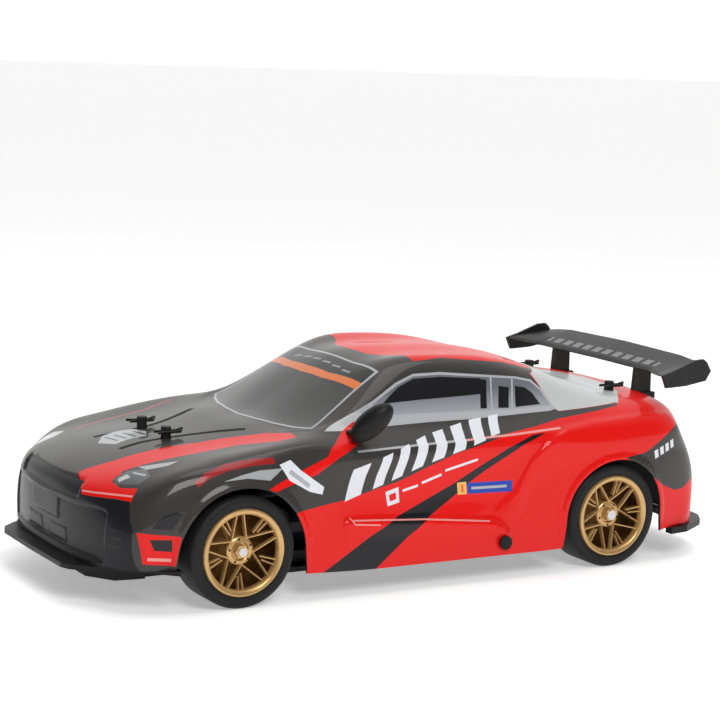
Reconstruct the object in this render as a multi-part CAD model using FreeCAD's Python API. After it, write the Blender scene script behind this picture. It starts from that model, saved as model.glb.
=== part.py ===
"""Remote controlled drift car, one tenth size: shell, chassis, drive, steering and wheels.

Millimetres. +X is forward, +Y is the car's left, +Z is up, the ground is Z = 0 and
the origin lies 2 ahead of the middle of the length.  One STEP file is written for
each separate piece of the car.
"""
import FreeCAD, Part
import math
import os

V = FreeCAD.Vector

# ---------------------------------------------------------------- driving dimensions
AXLE_X = 128.5            # half the wheelbase
AXLE_Z = 32.5             # tyre radius, so the tyres stand on the ground
TYRE_R = 32.5
TYRE_W = 26.0
FRONT_WHEEL_Y = 81.5      # middle of the front tyre
REAR_WHEEL_Y = 79.5       # middle of the rear tyre
BARREL_R = 24.8           # outside of the rim's barrel, inside of the tyre
BARREL_WALL = 1.5
HUB_R = 7.0

SHELL_WALL = 1.2          # vacuum formed shell
FRONT_ARCH = (39.0, 30.5, 41.5)   # radius, centre height, half width at the bottom
REAR_ARCH = (37.0, 31.5, 40.0)
FRONT_POST = (142.0, 17.0)        # body posts, X and Y
REAR_POST = (-156.0, 45.0)
POST_R = 3.0
POST_HOLE_R = 3.6
POST_TOP = {FRONT_POST[0]: 91.5, REAR_POST[0]: 108.3}
CLIP_Z = {FRONT_POST[0]: 88.8, REAR_POST[0]: 105.8}   # height of the wire through each post
CLIP_WIRE = 0.8

PLATE_BOTTOM = 9.0
PLATE_TOP = 12.0
KINGPIN_Y = 72.0
KINGPIN_R = 1.6
RUN_FIT = 0.05            # radial clearance of every running fit
STUB_R = 2.5
STEER_ARM = 12.0          # kingpin to steering peg, and servo shaft to horn peg
PEG_R = 1.5
SERVO_X = 100.0

REAR_SHAFT_R = 3.0
GEAR_MODULE = 0.8
SPUR_TEETH = 44
PINION_TEETH = 13
GEAR_DISTANCE = GEAR_MODULE * (SPUR_TEETH + PINION_TEETH) / 2.0
MOTOR_X = -AXLE_X + GEAR_DISTANCE
MOTOR_R = 14.0
MOTOR_SHAFT_R = 1.6


# ---------------------------------------------------------------- small helpers
def block(x0, x1, y0, y1, z0, z1):
    """Box between two corners."""
    return Part.makeBox(x1 - x0, y1 - y0, z1 - z0, V(x0, y0, z0))


def rod(start, end, radius):
    """Round bar from one point to another."""
    a = V(*start)
    b = V(*end)
    return Part.makeCylinder(radius, (b - a).Length, a, b - a)


def plate(outline, z0, z1):
    """Flat plate with an XY outline."""
    wire = Part.makePolygon([V(x, y, z0) for x, y in outline + outline[:1]])
    return Part.Face(wire).extrude(V(0, 0, z1 - z0))


def side_plate(outline, y0, y1):
    """Flat plate with an XZ outline, its thickness along Y."""
    wire = Part.makePolygon([V(x, y0, z) for x, z in outline + outline[:1]])
    return Part.Face(wire).extrude(V(0, y1 - y0, 0))


def both_sides(outline):
    """Close a half outline, given from front to rear on the left, with its mirror image."""
    return outline + [(x, -y) for x, y in reversed(outline)]


def mirrored(shape):
    """The same piece on the car's right side."""
    return shape.mirror(V(0, 0, 0), V(0, 1, 0))


def turned(profile, y_middle):
    """Solid of revolution about the wheel's axis; the profile is (radius, y) points."""
    points = [V(0, y_middle + y, r) for r, y in profile]
    wire = Part.makePolygon(points + points[:1])
    return Part.Face(wire).revolve(V(0, 0, 0), V(0, 1, 0), 360)


PIECES = {}


def keep(name, shape):
    """Store a finished piece under its node name."""
    PIECES[name] = shape.removeSplitter()


# ---------------------------------------------------------------- body shell
# Half sections of the shell from the rim up to the centre line, nose first.
# Each section runs: rim, lower side, side, shoulder, belt, roof side, roof, centre.
SHELL_SECTIONS = [
    # bumper's bottom edge
    [(162, 90, 25), (171, 89, 25), (180, 87, 25), (190, 83, 25),
     (198.5, 72, 25), (204, 54, 25), (208, 30, 25), (209, 0, 25)],
    # bumper, middle
    [(155, 92.5, 22), (163, 92, 33), (172, 90.5, 42), (188, 86, 46),
     (197.5, 73.5, 47), (204.5, 54, 48), (209.5, 28, 48), (210.5, 0, 48)],
    # bumper, below the hood
    [(146, 94, 19), (154, 94.5, 40), (163, 92.5, 56), (180, 86, 63.5),
     (191, 73, 63.5), (201, 55, 64.5), (207.5, 28, 65.5), (209, 0, 66)],
    # hood's front edge
    [(138, 95, 18), (143, 96, 46), (152, 93, 66), (168, 86, 74),
     (180, 73, 72.3), (192, 54, 71.6), (199.5, 28, 71.8), (202, 0, 72)],
    # just ahead of the front axle
    [(129, 95.5, 18), (130, 97, 52), (132, 94, 73), (143, 86, 81.5),
     (154, 72, 81), (165, 53, 79.5), (172, 28, 80), (174, 0, 80.3)],
    # just behind the front axle
    [(112, 95.5, 18), (112, 97, 50), (111, 94, 74), (112, 86.5, 86.5),
     (118, 73, 87), (125, 53, 85.5), (130, 28, 86), (131, 0, 86.3)],
    # cowl
    [(92, 95, 17), (91, 94.5, 46), (88, 92, 72), (82, 87, 88),
     (80, 74, 92.5), (88, 55, 91.5), (95, 28, 92), (97, 0, 92)],
    # foot of the windscreen
    [(66, 95.2, 16), (65, 92.5, 46), (64, 91, 70), (63, 89.5, 85),
     (67, 75, 93.8), (70, 65, 94.3), (78, 32, 95), (80, 0, 95)],
    # top of the windscreen
    [(20, 95.4, 15.5), (18, 92, 44), (16, 90.5, 68), (15, 89.5, 85),
     (14, 76, 95.5), (10, 60.5, 121.5), (22, 34, 126), (25, 0, 127)],
    # roof, front
    [(-16, 95.4, 15.5), (-16, 92, 44), (-16, 90.5, 67), (-16, 90, 84.8),
     (-16, 76.5, 96.3), (-18, 60.5, 125.5), (-16, 34, 130.2), (-16, 0, 131.2)],
    # roof, rear
    [(-52, 95.2, 15.5), (-52, 92.3, 43), (-52, 91.2, 67), (-52, 90.7, 85),
     (-52, 76.8, 97.3), (-55, 61, 123), (-58, 34, 128.2), (-59, 0, 129.2)],
    # rear quarter
    [(-80, 95, 15.5), (-80, 93.5, 44), (-80, 93, 68), (-80, 91.8, 86.2),
     (-82, 77, 99), (-86, 62, 116.5), (-92, 34, 121.5), (-94, 0, 122.5)],
    # just ahead of the rear axle
    [(-110, 95, 16), (-111, 96, 46), (-112, 95.5, 72), (-112, 91.5, 88),
     (-114, 77.5, 100), (-118, 62.5, 107.5), (-124, 34, 110.5), (-126, 0, 111)],
    # just behind the rear axle
    [(-141, 94.5, 16), (-141, 95.5, 48), (-143, 94.5, 74), (-146, 89, 90.5),
     (-149, 76.5, 99), (-151, 61, 102), (-154, 34, 103), (-155, 0, 103.2)],
    # rear edge of the deck
    [(-163, 92, 19), (-164, 92.5, 46), (-168, 91, 70), (-175, 84, 87.5),
     (-181, 74, 94), (-184, 60, 96.8), (-187, 33, 98.5), (-188, 0, 99)],
    # rear face, upper
    [(-176, 89, 20.5), (-180, 88.5, 42), (-185, 86.5, 61), (-190.5, 80, 73),
     (-195, 71, 77.5), (-199.5, 57, 79), (-203, 32, 80), (-204, 0, 80)],
    # rear face, lower
    [(-185, 87, 21), (-191, 85.5, 36), (-197, 82, 48), (-202, 76, 54.5),
     (-205.5, 67.5, 56), (-208.5, 54, 56.5), (-211, 31, 57), (-212, 0, 57)],
    # rear bumper's bottom edge
    [(-190, 86, 21), (-196, 83, 21), (-201, 78, 21), (-204.5, 70.5, 21),
     (-207, 61, 21), (-209, 48, 21), (-210.5, 27, 21), (-211, 0, 21)],
]


def full_sections():
    """Mirror every half section to the right side."""
    rows = []
    for half in SHELL_SECTIONS:
        left = [V(*p) for p in half]
        right = [V(p.x, -p.y, p.z) for p in reversed(left[:-1])]
        rows.append(left + right)
    return rows


def inner_sections(rows):
    """Move every point inwards by the wall, square to the surface."""
    inner = []
    last_row = len(rows) - 1
    last_col = len(rows[0]) - 1
    for i, row in enumerate(rows):
        new_row = []
        for j, point in enumerate(row):
            # the rim takes its direction from the nearest point that is not on the rim
            a = min(max(i, 1), last_row - 1)
            b = min(max(j, 1), last_col - 1)
            along = rows[a + 1][b] - rows[a - 1][b]
            across = rows[a][b + 1] - rows[a][b - 1]
            outward = across.cross(along)
            if a != i or b != j:
                outward.z = 0.0
            outward.normalize()
            new_row.append(point - outward * SHELL_WALL)
        inner.append(new_row)
    return inner


def clamped_knots(count):
    """Knots and multiplicities of a clamped quadratic spline with this many control points."""
    spans = count - 2
    knots = [float(k) for k in range(spans + 1)]
    repeats = [3] + [1] * (spans - 1) + [3]
    return knots, repeats


def skin(rows):
    """Smooth quadratic surface drawn towards a net of control points."""
    u_knots, u_repeats = clamped_knots(len(rows))
    v_knots, v_repeats = clamped_knots(len(rows[0]))
    surface = Part.BSplineSurface()
    surface.buildFromPolesMultsKnots(
        rows, u_repeats, v_repeats, u_knots, v_knots, False, False, 2, 2)
    return surface


def shell_blank():
    """Closed thin shell before its openings are cut."""
    rows = full_sections()
    outer = skin(rows)
    inner = skin(inner_sections(rows))
    faces = [outer.toShape(), inner.toShape()]
    u0, u1, v0, v1 = outer.bounds()
    a0, a1, b0, b1 = inner.bounds()
    pairs = [
        (outer.uIso(u0), inner.uIso(a0)),
        (outer.uIso(u1), inner.uIso(a1)),
        (outer.vIso(v0), inner.vIso(b0)),
        (outer.vIso(v1), inner.vIso(b1)),
    ]
    for first, second in pairs:
        faces.append(Part.makeRuledSurface(first.toShape(), second.toShape()))
    sewn = Part.makeShell(faces)
    sewn.sewShape()
    solid = Part.makeSolid(sewn)
    if solid.Volume < 0:
        solid.reverse()
    return solid


def arch_cutter(x, arch):
    """Wheel opening: round above, slightly widening below, on both sides."""
    radius, height, foot = arch
    outline = [(x - radius, height), (x + radius, height), (x + foot, 5.0), (x - foot, 5.0)]
    cutter = None
    for y0 in (58.0, -110.0):
        piece = rod((x, y0, height), (x, y0 + 52.0, height), radius)
        piece = piece.fuse(side_plate(outline, y0, y0 + 52.0))
        cutter = piece if cutter is None else cutter.fuse(piece)
    return cutter


def body_shell():
    """The painted shell with wheel openings and four post holes."""
    shell = shell_blank()
    shell = shell.cut(arch_cutter(AXLE_X, FRONT_ARCH))
    shell = shell.cut(arch_cutter(-AXLE_X, REAR_ARCH))
    for x, y in (FRONT_POST, REAR_POST):
        for side in (1, -1):
            shell = shell.cut(rod((x, side * y, 60), (x, side * y, 130), POST_HOLE_R))
    return shell



def trimmed_by_shell(shape, blank, highest=True):
    """Cut a fitting to sit on the shell, keeping the part outside it."""
    pieces = shape.cut(blank).Solids
    if highest:
        return max(pieces, key=lambda p: p.CenterOfMass.z)
    return max(pieces, key=lambda p: abs(p.CenterOfMass.y))


def front_splitter():
    """Thin blade under the bumper's bottom edge, and the step that glues it there."""
    half = [(218, 0), (217.4, 44), (215, 50), (206.5, 58), (190, 70), (172, 81), (164.5, 88),
            (163, 86), (166, 82), (178, 73), (190, 62), (200, 40), (201.5, 0)]
    step = [(209, 0), (208, 42), (205, 56), (193, 76.5), (171, 93), (165, 92.5), (165, 86),
            (178, 73), (190, 62), (200, 40), (201.5, 0)]
    blade = plate(mirrored_ends(half), 20.8, 23.5)
    return blade.fuse(plate(mirrored_ends(step), 23.5, 25.0))


def mirrored_ends(half):
    """Close a half outline whose first and last points lie on the centre line."""
    return half + [(x, -y) for x, y in reversed(half[1:-1])]


def rear_lip():
    """Small diffuser blade under the rear bumper's bottom edge."""
    half = [(-222, 0), (-221.5, 44), (-218, 66), (-211, 77), (-190, 90), (-176, 92), (-176, 86),
            (-194, 76), (-200, 62), (-204, 40), (-205, 0)]
    return plate(mirrored_ends(half), 16.5, 20.5)


# Wing: distance from the middle, leading edge and trailing edge (X, Z) of each station.
WING_STATIONS = [(0, (-176, 116.3), (-200.5, 126)), (60, (-175.5, 116), (-200.5, 125)),
                 (74, (-171, 116), (-200.5, 123.6)), (86, (-165.5, 117.3), (-200.3, 121.8))]
# Blade section as share of the chord and height over the chord line.
WING_SECTION = [(0.0, 0.3), (0.1, 1.0), (0.4, 1.2), (0.8, 0.8), (1.0, 0.5),
                (1.0, -0.5), (0.6, -1.3), (0.3, -1.6), (0.08, -1.1), (0.0, -0.4)]
END_PLATE = [(-168.4, 109.7), (-164.8, 117.8), (-174.3, 120.4), (-190.9, 126.4), (-197.1, 126.8),
             (-199.7, 124.8), (-203.2, 119.2), (-199.4, 113), (-183.5, 110.4)]
END_PLATE_WALL = 2.0


def wing_outline(y, front, rear):
    """Closed outline of the blade at one station."""
    chord = V(rear[0] - front[0], 0, rear[1] - front[1])
    rise = V(-chord.z, 0, chord.x).normalize() * -1.0
    points = [V(front[0], y, front[1]) + chord * share + rise * height for share, height in WING_SECTION]
    return Part.makePolygon(points + points[:1])


def wing_blade():
    """Arched wing whose ends sweep forward to two end plates."""
    halves = []
    for side in (1, -1):
        outlines = [wing_outline(side * y, front, rear) for y, front, rear in WING_STATIONS]
        halves.append(Part.makeLoft(outlines, True, True))
    wing = halves[0].fuse(halves[1])
    span = WING_STATIONS[-1][0]
    for y in (-span - END_PLATE_WALL, span):
        wing = wing.fuse(side_plate(END_PLATE, y, y + END_PLATE_WALL))
    return wing


def wing_stand(blank):
    """Upright blade from the rear deck to the wing's underside, left one."""
    outline = [(-174.5, 88), (-189, 88), (-188.5, 102), (-188, 125), (-176, 120), (-174.7, 102)]
    stand = side_plate(outline, 43.5, 46.5)
    stand = stand.fuse(block(-191, -172.5, 42, 48, 88, 100))
    stand = stand.cut(PIECES["wing_blade"])
    stand = min(stand.Solids, key=lambda p: p.CenterOfMass.z)
    return trimmed_by_shell(stand, blank)


def door_mirror(blank):
    """Egg shaped mirror housing leaning outwards on a short foot, on the left door only."""
    scale = FreeCAD.Matrix()
    scale.scale(8.0, 7.0, 15.5)
    housing = Part.makeSphere(1.0).transformGeometry(scale)
    lean = FreeCAD.Rotation(V(0, 0, 1), V(-0.58, 0.42, 0.70))
    housing.Placement = FreeCAD.Placement(V(47.5, 92, 101), lean)
    foot = rod((56, 72, 91), (50, 88, 95), 2.4)
    return trimmed_by_shell(housing.fuse(foot), blank, highest=False)


def skirt_buttons(blank):
    """Round snap caps, one low on each side skirt."""
    left = rod((-46.7, 88, 23.3), (-46.7, 97.0, 23.3), 4.2)
    left = trimmed_by_shell(left, blank, highest=False)
    return Part.makeCompound([left, mirrored(left)])


def body_clip(x, y):
    """Flat R clip through a body post, its free arm beside the post."""
    z = CLIP_Z[x]
    side = 4.6 if y > 0 else -4.6
    corners = [(x + 7, y, z), (x - 7, y, z), (x - 9, y + side / 2, z + 1.5), (x - 7, y + side, z),
               (x + 4, y + side, z), (x + 7, y + side * 1.3, z)]
    clip = Part.makeSphere(CLIP_WIRE, V(*corners[0]))
    for start, end in zip(corners, corners[1:]):
        clip = clip.fuse([rod(start, end, CLIP_WIRE), Part.makeSphere(CLIP_WIRE, V(*end))])
    return clip


# ---------------------------------------------------------------- chassis
SCREWS = [(144, 0), (134, 26), (134, -26), (100, 12), (100, -12), (76, 0), (-84, 0),
          (-12, 29), (-12, -29), (-140, 25.5), (-140, -25.5), (-98, 25.5), (-98, -25.5)]


def screw(x, y):
    """Countersunk screw driven up from below the plate."""
    head = Part.makeCone(2.8, 1.5, 1.6, V(x, y, PLATE_BOTTOM))
    shank = rod((x, y, PLATE_BOTTOM), (x, y, PLATE_TOP + 3.0), 1.5)
    return head.fuse(shank)


def chassis_plate():
    """Lower deck: narrow between the wheels, wide in the middle."""
    half = [(186, 30), (166, 40), (96, 40), (84, 62), (-74, 62), (-88, 40), (-152, 40)]
    deck = plate(both_sides(half), PLATE_BOTTOM, PLATE_TOP)
    for side in (1, -1):
        deck = deck.cut(block(-60, -24, min(side * 28, side * 54), max(side * 28, side * 54), 0, 20))
    deck = deck.cut(block(68.5, 78.5, 42, 48, 0, 20))
    return deck


def front_lower_beam():
    """Lower cross beam that holds the bottom of both kingpins."""
    half = [(139, 18), (134, 30), (134, 76), (123, 76), (123, 30), (118, 18)]
    beam = plate(both_sides(half), 15.5, 18.5)
    return beam.fuse(block(120, 139, -17, 17, PLATE_TOP, 15.5))


def front_upper_beam():
    """Upper cross beam on two pillars, holding the top of both kingpins."""
    half = [(138, 20), (134, 32), (134, 76), (123, 76), (123, 32), (122, 20)]
    beam = plate(both_sides(half), 46.0, 49.0)
    for side in (1, -1):
        beam = beam.fuse(rod((134, side * 26, PLATE_TOP), (134, side * 26, 47), 4.0))
    return beam


def kingpins():
    """Two steel pins, each pressed into both beams."""
    left = rod((AXLE_X, KINGPIN_Y, 15.5), (AXLE_X, KINGPIN_Y, 49.0), KINGPIN_R)
    return Part.makeCompound([left, mirrored(left)])


def foam_bumper():
    """Foam block behind the nose, on the plate's front end."""
    half = [(199, 36), (188, 52), (174, 54), (170, 54), (170, 34), (176, 30)]
    return plate(both_sides(half), PLATE_TOP, 34.0)


def front_body_posts():
    """Cross bar with the two front body posts."""
    x, y = FRONT_POST
    bar = block(x - 2.5, x + 5, -y - 5, y + 5, PLATE_TOP, 18)
    for side in (1, -1):
        bar = bar.fuse(rod((x, side * y, 16), (x, side * y, POST_TOP[x]), POST_R))
        bar = bar.cut(rod((x - 5, side * y, CLIP_Z[x]), (x + 5, side * y, CLIP_Z[x]), CLIP_WIRE + RUN_FIT))
    return bar


def rear_body_posts():
    """Bridge over the gear case with the two rear body posts."""
    x, y = REAR_POST
    outline = [(-146, 50), (-160, 50), (-160, -50), (-146, -50), (-146, -28.5), (-92, -28.5),
               (-92, 28.5), (-146, 28.5)]
    bridge = plate(outline, 54.0, 57.0)
    for side in (1, -1):
        bridge = bridge.fuse(rod((x, side * y, 54), (x, side * y, POST_TOP[x]), POST_R))
        bridge = bridge.cut(rod((x - 5, side * y, CLIP_Z[x]), (x + 5, side * y, CLIP_Z[x]), CLIP_WIRE + RUN_FIT))
    return bridge


def upper_deck():
    """Stiffening deck on two pillars in front of and behind the battery."""
    half = [(82, 14), (60, 9), (-70, 9), (-88, 14)]
    deck = plate(both_sides(half), 44.0, 46.0)
    for x in (76, -84):
        deck = deck.fuse(rod((x, 0, PLATE_TOP), (x, 0, 45), 4.0))
    return deck


def battery_pack():
    """Six cells shrunk into one flat pack."""
    pack = block(-72, 62, -23, 23, PLATE_TOP, 35.5)
    return pack.makeFillet(7.0, [e for e in pack.Edges if e.BoundBox.XLength > 130])


def battery_strap():
    """Moulded strap over the pack, screwed down on both sides."""
    outer = block(-17, -7, -26.5, 26.5, PLATE_TOP, 37.5)
    strap = outer.cut(block(-18, -6, -24.5, 24.5, 0, 35.5))
    for side in (1, -1):
        y0, y1 = sorted((side * 25.5, side * 33))
        strap = strap.fuse(block(-17, -7, y0, y1, PLATE_TOP, PLATE_TOP + 3.5))
    return strap


def speed_control():
    """Speed control with cooling fins."""
    case = block(-22, 30, -58, -34, PLATE_TOP, 26)
    for k in range(6):
        case = case.fuse(block(-16 + 7 * k, -13 + 7 * k, -56, -36, 26, 31))
    return case


def receiver():
    """Radio receiver box."""
    case = block(-10, 26, 36, 58, PLATE_TOP, 25)
    return case.makeFillet(1.5, [e for e in case.Edges if e.BoundBox.ZLength > 12])


def steering_servo():
    """Small servo standing on the plate, its shaft pointing up."""
    case = block(SERVO_X - 10, SERVO_X + 14, -7, 7, PLATE_TOP, 33.5)
    ears = block(SERVO_X - 14, SERVO_X + 18, -7, 7, 27, 29)
    boss = rod((SERVO_X, 0, 33), (SERVO_X, 0, 35.2), 5.0)
    return case.fuse([ears, boss])


def gear_case_side(side):
    """Side plate of the gear case with a seat for the shaft bearing."""
    outline = [(-150, PLATE_TOP), (-88, PLATE_TOP), (-88, 46), (-96, 54), (-142, 54), (-150, 46)]
    wall = side_plate(outline, 24.0, 27.0)
    wall = wall.fuse(block(-150, -88, 24, 30, PLATE_TOP, PLATE_TOP + 3.0))
    wall = wall.cut(rod((-AXLE_X, 20, AXLE_Z), (-AXLE_X, 32, AXLE_Z), 6.5))
    return wall if side > 0 else mirrored(wall)


def shaft_bearings():
    """Two plain bearings pressed into the gear case."""
    ring = rod((-AXLE_X, 24, AXLE_Z), (-AXLE_X, 27, AXLE_Z), 6.5)
    ring = ring.fuse(rod((-AXLE_X, 27, AXLE_Z), (-AXLE_X, 28, AXLE_Z), 7.3))
    ring = ring.cut(rod((-AXLE_X, 20, AXLE_Z), (-AXLE_X, 32, AXLE_Z), REAR_SHAFT_R + RUN_FIT))
    return Part.makeCompound([ring, mirrored(ring)])


def motor_mount():
    """Plate that the motor is screwed to."""
    outline = [(-119, PLATE_TOP), (-89, PLATE_TOP), (-89, 50), (-112, 50), (-119, 44)]
    mount = side_plate(outline, 11.0, 13.0)
    return mount.cut(rod((MOTOR_X, 5, AXLE_Z), (MOTOR_X, 20, AXLE_Z), 5.0))


def motor_can():
    """Brushed motor lying across the car."""
    can = rod((MOTOR_X, -21.0, AXLE_Z), (MOTOR_X, 11.0, AXLE_Z), MOTOR_R)
    can = can.fuse(rod((MOTOR_X, 11.0, AXLE_Z), (MOTOR_X, 13.0, AXLE_Z), 5.0))
    return can.cut(rod((MOTOR_X, -30, AXLE_Z), (MOTOR_X, 20, AXLE_Z), MOTOR_SHAFT_R + RUN_FIT))


def switch_case():
    """Power switch body over its slot in the plate."""
    case = block(65, 82, 38, 52, PLATE_TOP, 19)
    return case.cut(block(68.5, 78.5, 42, 48, 0, 16.5))


def switch_knob():
    """Sliding knob reached from below."""
    knob = block(69, 73.5, 42.4, 47.6, 9.6, 16.0)
    return knob


# ---------------------------------------------------------------- drive
def involute(base, radius):
    """Polar angle of the involute at a radius."""
    a = math.sqrt(max((radius / base) ** 2 - 1.0, 0.0))
    return a - math.atan(a)


def gear(teeth, bore, y0, y1, phase):
    """Spur gear about the Y axis with involute teeth and a little backlash."""
    pitch = GEAR_MODULE * teeth / 2.0
    base = pitch * math.cos(math.radians(20.0))
    tip = pitch + GEAR_MODULE * 0.9
    root = pitch - GEAR_MODULE * 1.25
    half_tooth = math.pi / teeth / 2.0 - 0.07 / pitch
    radii = [max(base, root) + (tip - max(base, root)) * k / 4.0 for k in range(5)]
    points = []
    for n in range(teeth):
        middle = phase + 2.0 * math.pi * n / teeth
        flank = [(r, half_tooth + involute(base, pitch) - involute(base, r)) for r in radii]
        low = flank[0][1]
        points.append((root, middle - low - 0.01))
        points += [(r, middle - a) for r, a in flank]
        points += [(r, middle + a) for r, a in reversed(flank)]
        points.append((root, middle + low + 0.01))
    outline = [V(r * math.cos(a), y0, r * math.sin(a)) for r, a in points]
    body = Part.Face(Part.makePolygon(outline + outline[:1])).extrude(V(0, y1 - y0, 0))
    return body.cut(rod((0, y0 - 1, 0), (0, y1 + 1, 0), bore))


def spur_gear():
    """Large gear on the rear shaft, a gap between teeth facing the pinion."""
    wheel = gear(SPUR_TEETH, REAR_SHAFT_R, 15.0, 19.5, math.pi / SPUR_TEETH)
    wheel.translate(V(-AXLE_X, 0, AXLE_Z))
    return wheel


def pinion_gear():
    """Small gear on the motor's shaft, one tooth facing the spur gear."""
    wheel = gear(PINION_TEETH, MOTOR_SHAFT_R, 14.5, 20.0, math.pi)
    wheel.translate(V(MOTOR_X, 0, AXLE_Z))
    return wheel


def motor_shaft():
    """Motor shaft."""
    return rod((MOTOR_X, -22.5, AXLE_Z), (MOTOR_X, 20.5, AXLE_Z), MOTOR_SHAFT_R)


def rear_shaft():
    """One solid shaft that locks both rear wheels together."""
    end = REAR_WHEEL_Y + 12.0
    return rod((-AXLE_X, -end, AXLE_Z), (-AXLE_X, end, AXLE_Z), REAR_SHAFT_R)


def hexagon(x, y0, y1, across_flats, bore):
    """Hexagonal nut about the wheel's axis."""
    r = across_flats / math.sqrt(3.0)
    corners = [(x + r * math.cos(math.radians(60 * k)), AXLE_Z + r * math.sin(math.radians(60 * k)))
               for k in range(6)]
    return side_plate(corners, y0, y1).cut(rod((x, y0 - 1, AXLE_Z), (x, y1 + 1, AXLE_Z), bore))


def rear_hexes():
    """Two driving hexes behind the rear rims."""
    left = hexagon(-AXLE_X, REAR_WHEEL_Y - 7.0, REAR_WHEEL_Y - 1.0, 12.0, REAR_SHAFT_R)
    return Part.makeCompound([left, mirrored(left)])


def rear_nuts():
    """Two nuts that hold the rear wheels."""
    left = hexagon(-AXLE_X, REAR_WHEEL_Y + 7.0, REAR_WHEEL_Y + 11.0, 7.0, REAR_SHAFT_R)
    return Part.makeCompound([left, mirrored(left)])


# ---------------------------------------------------------------- wheels
def rim(x, y, bore):
    """Ten spoke rim with a deep barrel, left one."""
    inner = BARREL_R - BARREL_WALL
    barrel = turned([(inner, -12.5), (BARREL_R, -12.5), (BARREL_R, 12.0), (26.3, 12.6),
                     (26.3, 13.6), (24.6, 13.6), (inner, 12.0)], y)
    wheel = barrel.fuse(turned([(0, -1.0), (HUB_R, -1.0), (HUB_R, 7.0), (0, 7.0)], y))
    for k in range(5):
        for lean in (-13.0, 13.0):
            spoke = block(4.0, inner + 0.7, y + 5.5, y + 9.5, -1.1, 1.1)
            spoke.rotate(V(15, 0, 0), V(0, 1, 0), lean)
            spoke.rotate(V(0, 0, 0), V(0, 1, 0), 90 + 72 * k)
            wheel = wheel.fuse(spoke)
    ring = rod((0, y + 14, 0), (0, y - 14, 0), BARREL_R)
    wheel = wheel.common(ring.fuse(barrel))
    wheel = wheel.cut(rod((0, y + 7, 0), (0, y + 14, 0), 5.0))
    wheel = wheel.cut(rod((0, y - 20, 0), (0, y + 20, 0), bore))
    wheel.translate(V(x, 0, AXLE_Z))
    return wheel


def tyre(x, y):
    """Smooth hard drift tyre, left one."""
    half = TYRE_W / 2.0
    profile = [(BARREL_R, -12.0), (27.5, -half), (29.5, -half), (31.6, -half + 1.6),
               (TYRE_R, -half + 4.5), (TYRE_R, half - 4.5), (31.6, half - 1.6),
               (29.5, half), (27.5, half - 0.2), (26.3, 12.6), (BARREL_R, 12.0)]
    ring = turned(profile, y)
    ring.translate(V(x, 0, AXLE_Z))
    return ring


# ---------------------------------------------------------------- front suspension and steering
def spring_seat():
    """Washer between the knuckle and its spring, left one."""
    ring = rod((AXLE_X, KINGPIN_Y, 37.0), (AXLE_X, KINGPIN_Y, 38.2), 4.4)
    return ring.cut(rod((AXLE_X, KINGPIN_Y, 36), (AXLE_X, KINGPIN_Y, 40), KINGPIN_R + RUN_FIT))


def kingpin_spring():
    """Coil spring between its seat and the upper beam, left one, in short straight lengths."""
    radius, wire = 3.3, 0.45
    low, high = 38.8, 45.4
    turns, steps = 3.5, 8
    count = int(turns * steps)
    points = []
    for k in range(count + 1):
        a = 2.0 * math.pi * k / steps
        z = low + (high - low) * k / count
        points.append((AXLE_X + radius * math.cos(a), KINGPIN_Y + radius * math.sin(a), z))
    lengths = [rod(points[k], points[k + 1], wire) for k in range(count)]
    bends = [Part.makeSphere(wire, V(*p)) for p in points[1:-1]]
    return lengths[0].fuse(lengths[1:] + bends)


def steering_knuckle():
    """Upright that slides and turns on the kingpin, with the steering peg, left one."""
    hub = rod((AXLE_X, KINGPIN_Y, 24.0), (AXLE_X, KINGPIN_Y, 37.0), 4.6)
    boss = rod((AXLE_X, KINGPIN_Y, AXLE_Z), (AXLE_X, KINGPIN_Y + 7.0, AXLE_Z), 4.0)
    arm = block(AXLE_X - STEER_ARM, AXLE_X, KINGPIN_Y - 2.4, KINGPIN_Y + 2.4, 29.0, 32.0)
    tip = rod((AXLE_X - STEER_ARM, KINGPIN_Y, 29), (AXLE_X - STEER_ARM, KINGPIN_Y, 32), 2.4)
    peg = rod((AXLE_X - STEER_ARM, KINGPIN_Y, 31), (AXLE_X - STEER_ARM, KINGPIN_Y, 45), PEG_R)
    upright = hub.fuse([boss, arm, tip, peg])
    upright = upright.cut(rod((AXLE_X, KINGPIN_Y, 20), (AXLE_X, KINGPIN_Y, 40), KINGPIN_R + RUN_FIT))
    return upright.cut(rod((AXLE_X, KINGPIN_Y + 3, AXLE_Z), (AXLE_X, 99, AXLE_Z), STUB_R))


def stub_axle():
    """Steel stub pressed into the knuckle, left one."""
    end = FRONT_WHEEL_Y + 12.0
    return rod((AXLE_X, KINGPIN_Y + 3.0, AXLE_Z), (AXLE_X, end, AXLE_Z), STUB_R)


def front_nut():
    """Nut on the stub's end, a little clear of the rim, left one."""
    return hexagon(AXLE_X, FRONT_WHEEL_Y + 7.2, FRONT_WHEEL_Y + 11.0, 7.0, STUB_R)


def servo_horn():
    """Servo arm with its peg, pressed on the servo's shaft."""
    disc = rod((SERVO_X, 0, 35.3), (SERVO_X, 0, 38.2), 5.0)
    arm = block(SERVO_X - STEER_ARM, SERVO_X, -2.6, 2.6, 35.3, 38.2)
    tip = rod((SERVO_X - STEER_ARM, 0, 35.3), (SERVO_X - STEER_ARM, 0, 38.2), 2.6)
    peg = rod((SERVO_X - STEER_ARM, 0, 38), (SERVO_X - STEER_ARM, 0, 42.5), PEG_R)
    return disc.fuse([arm, tip, peg])


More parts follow.
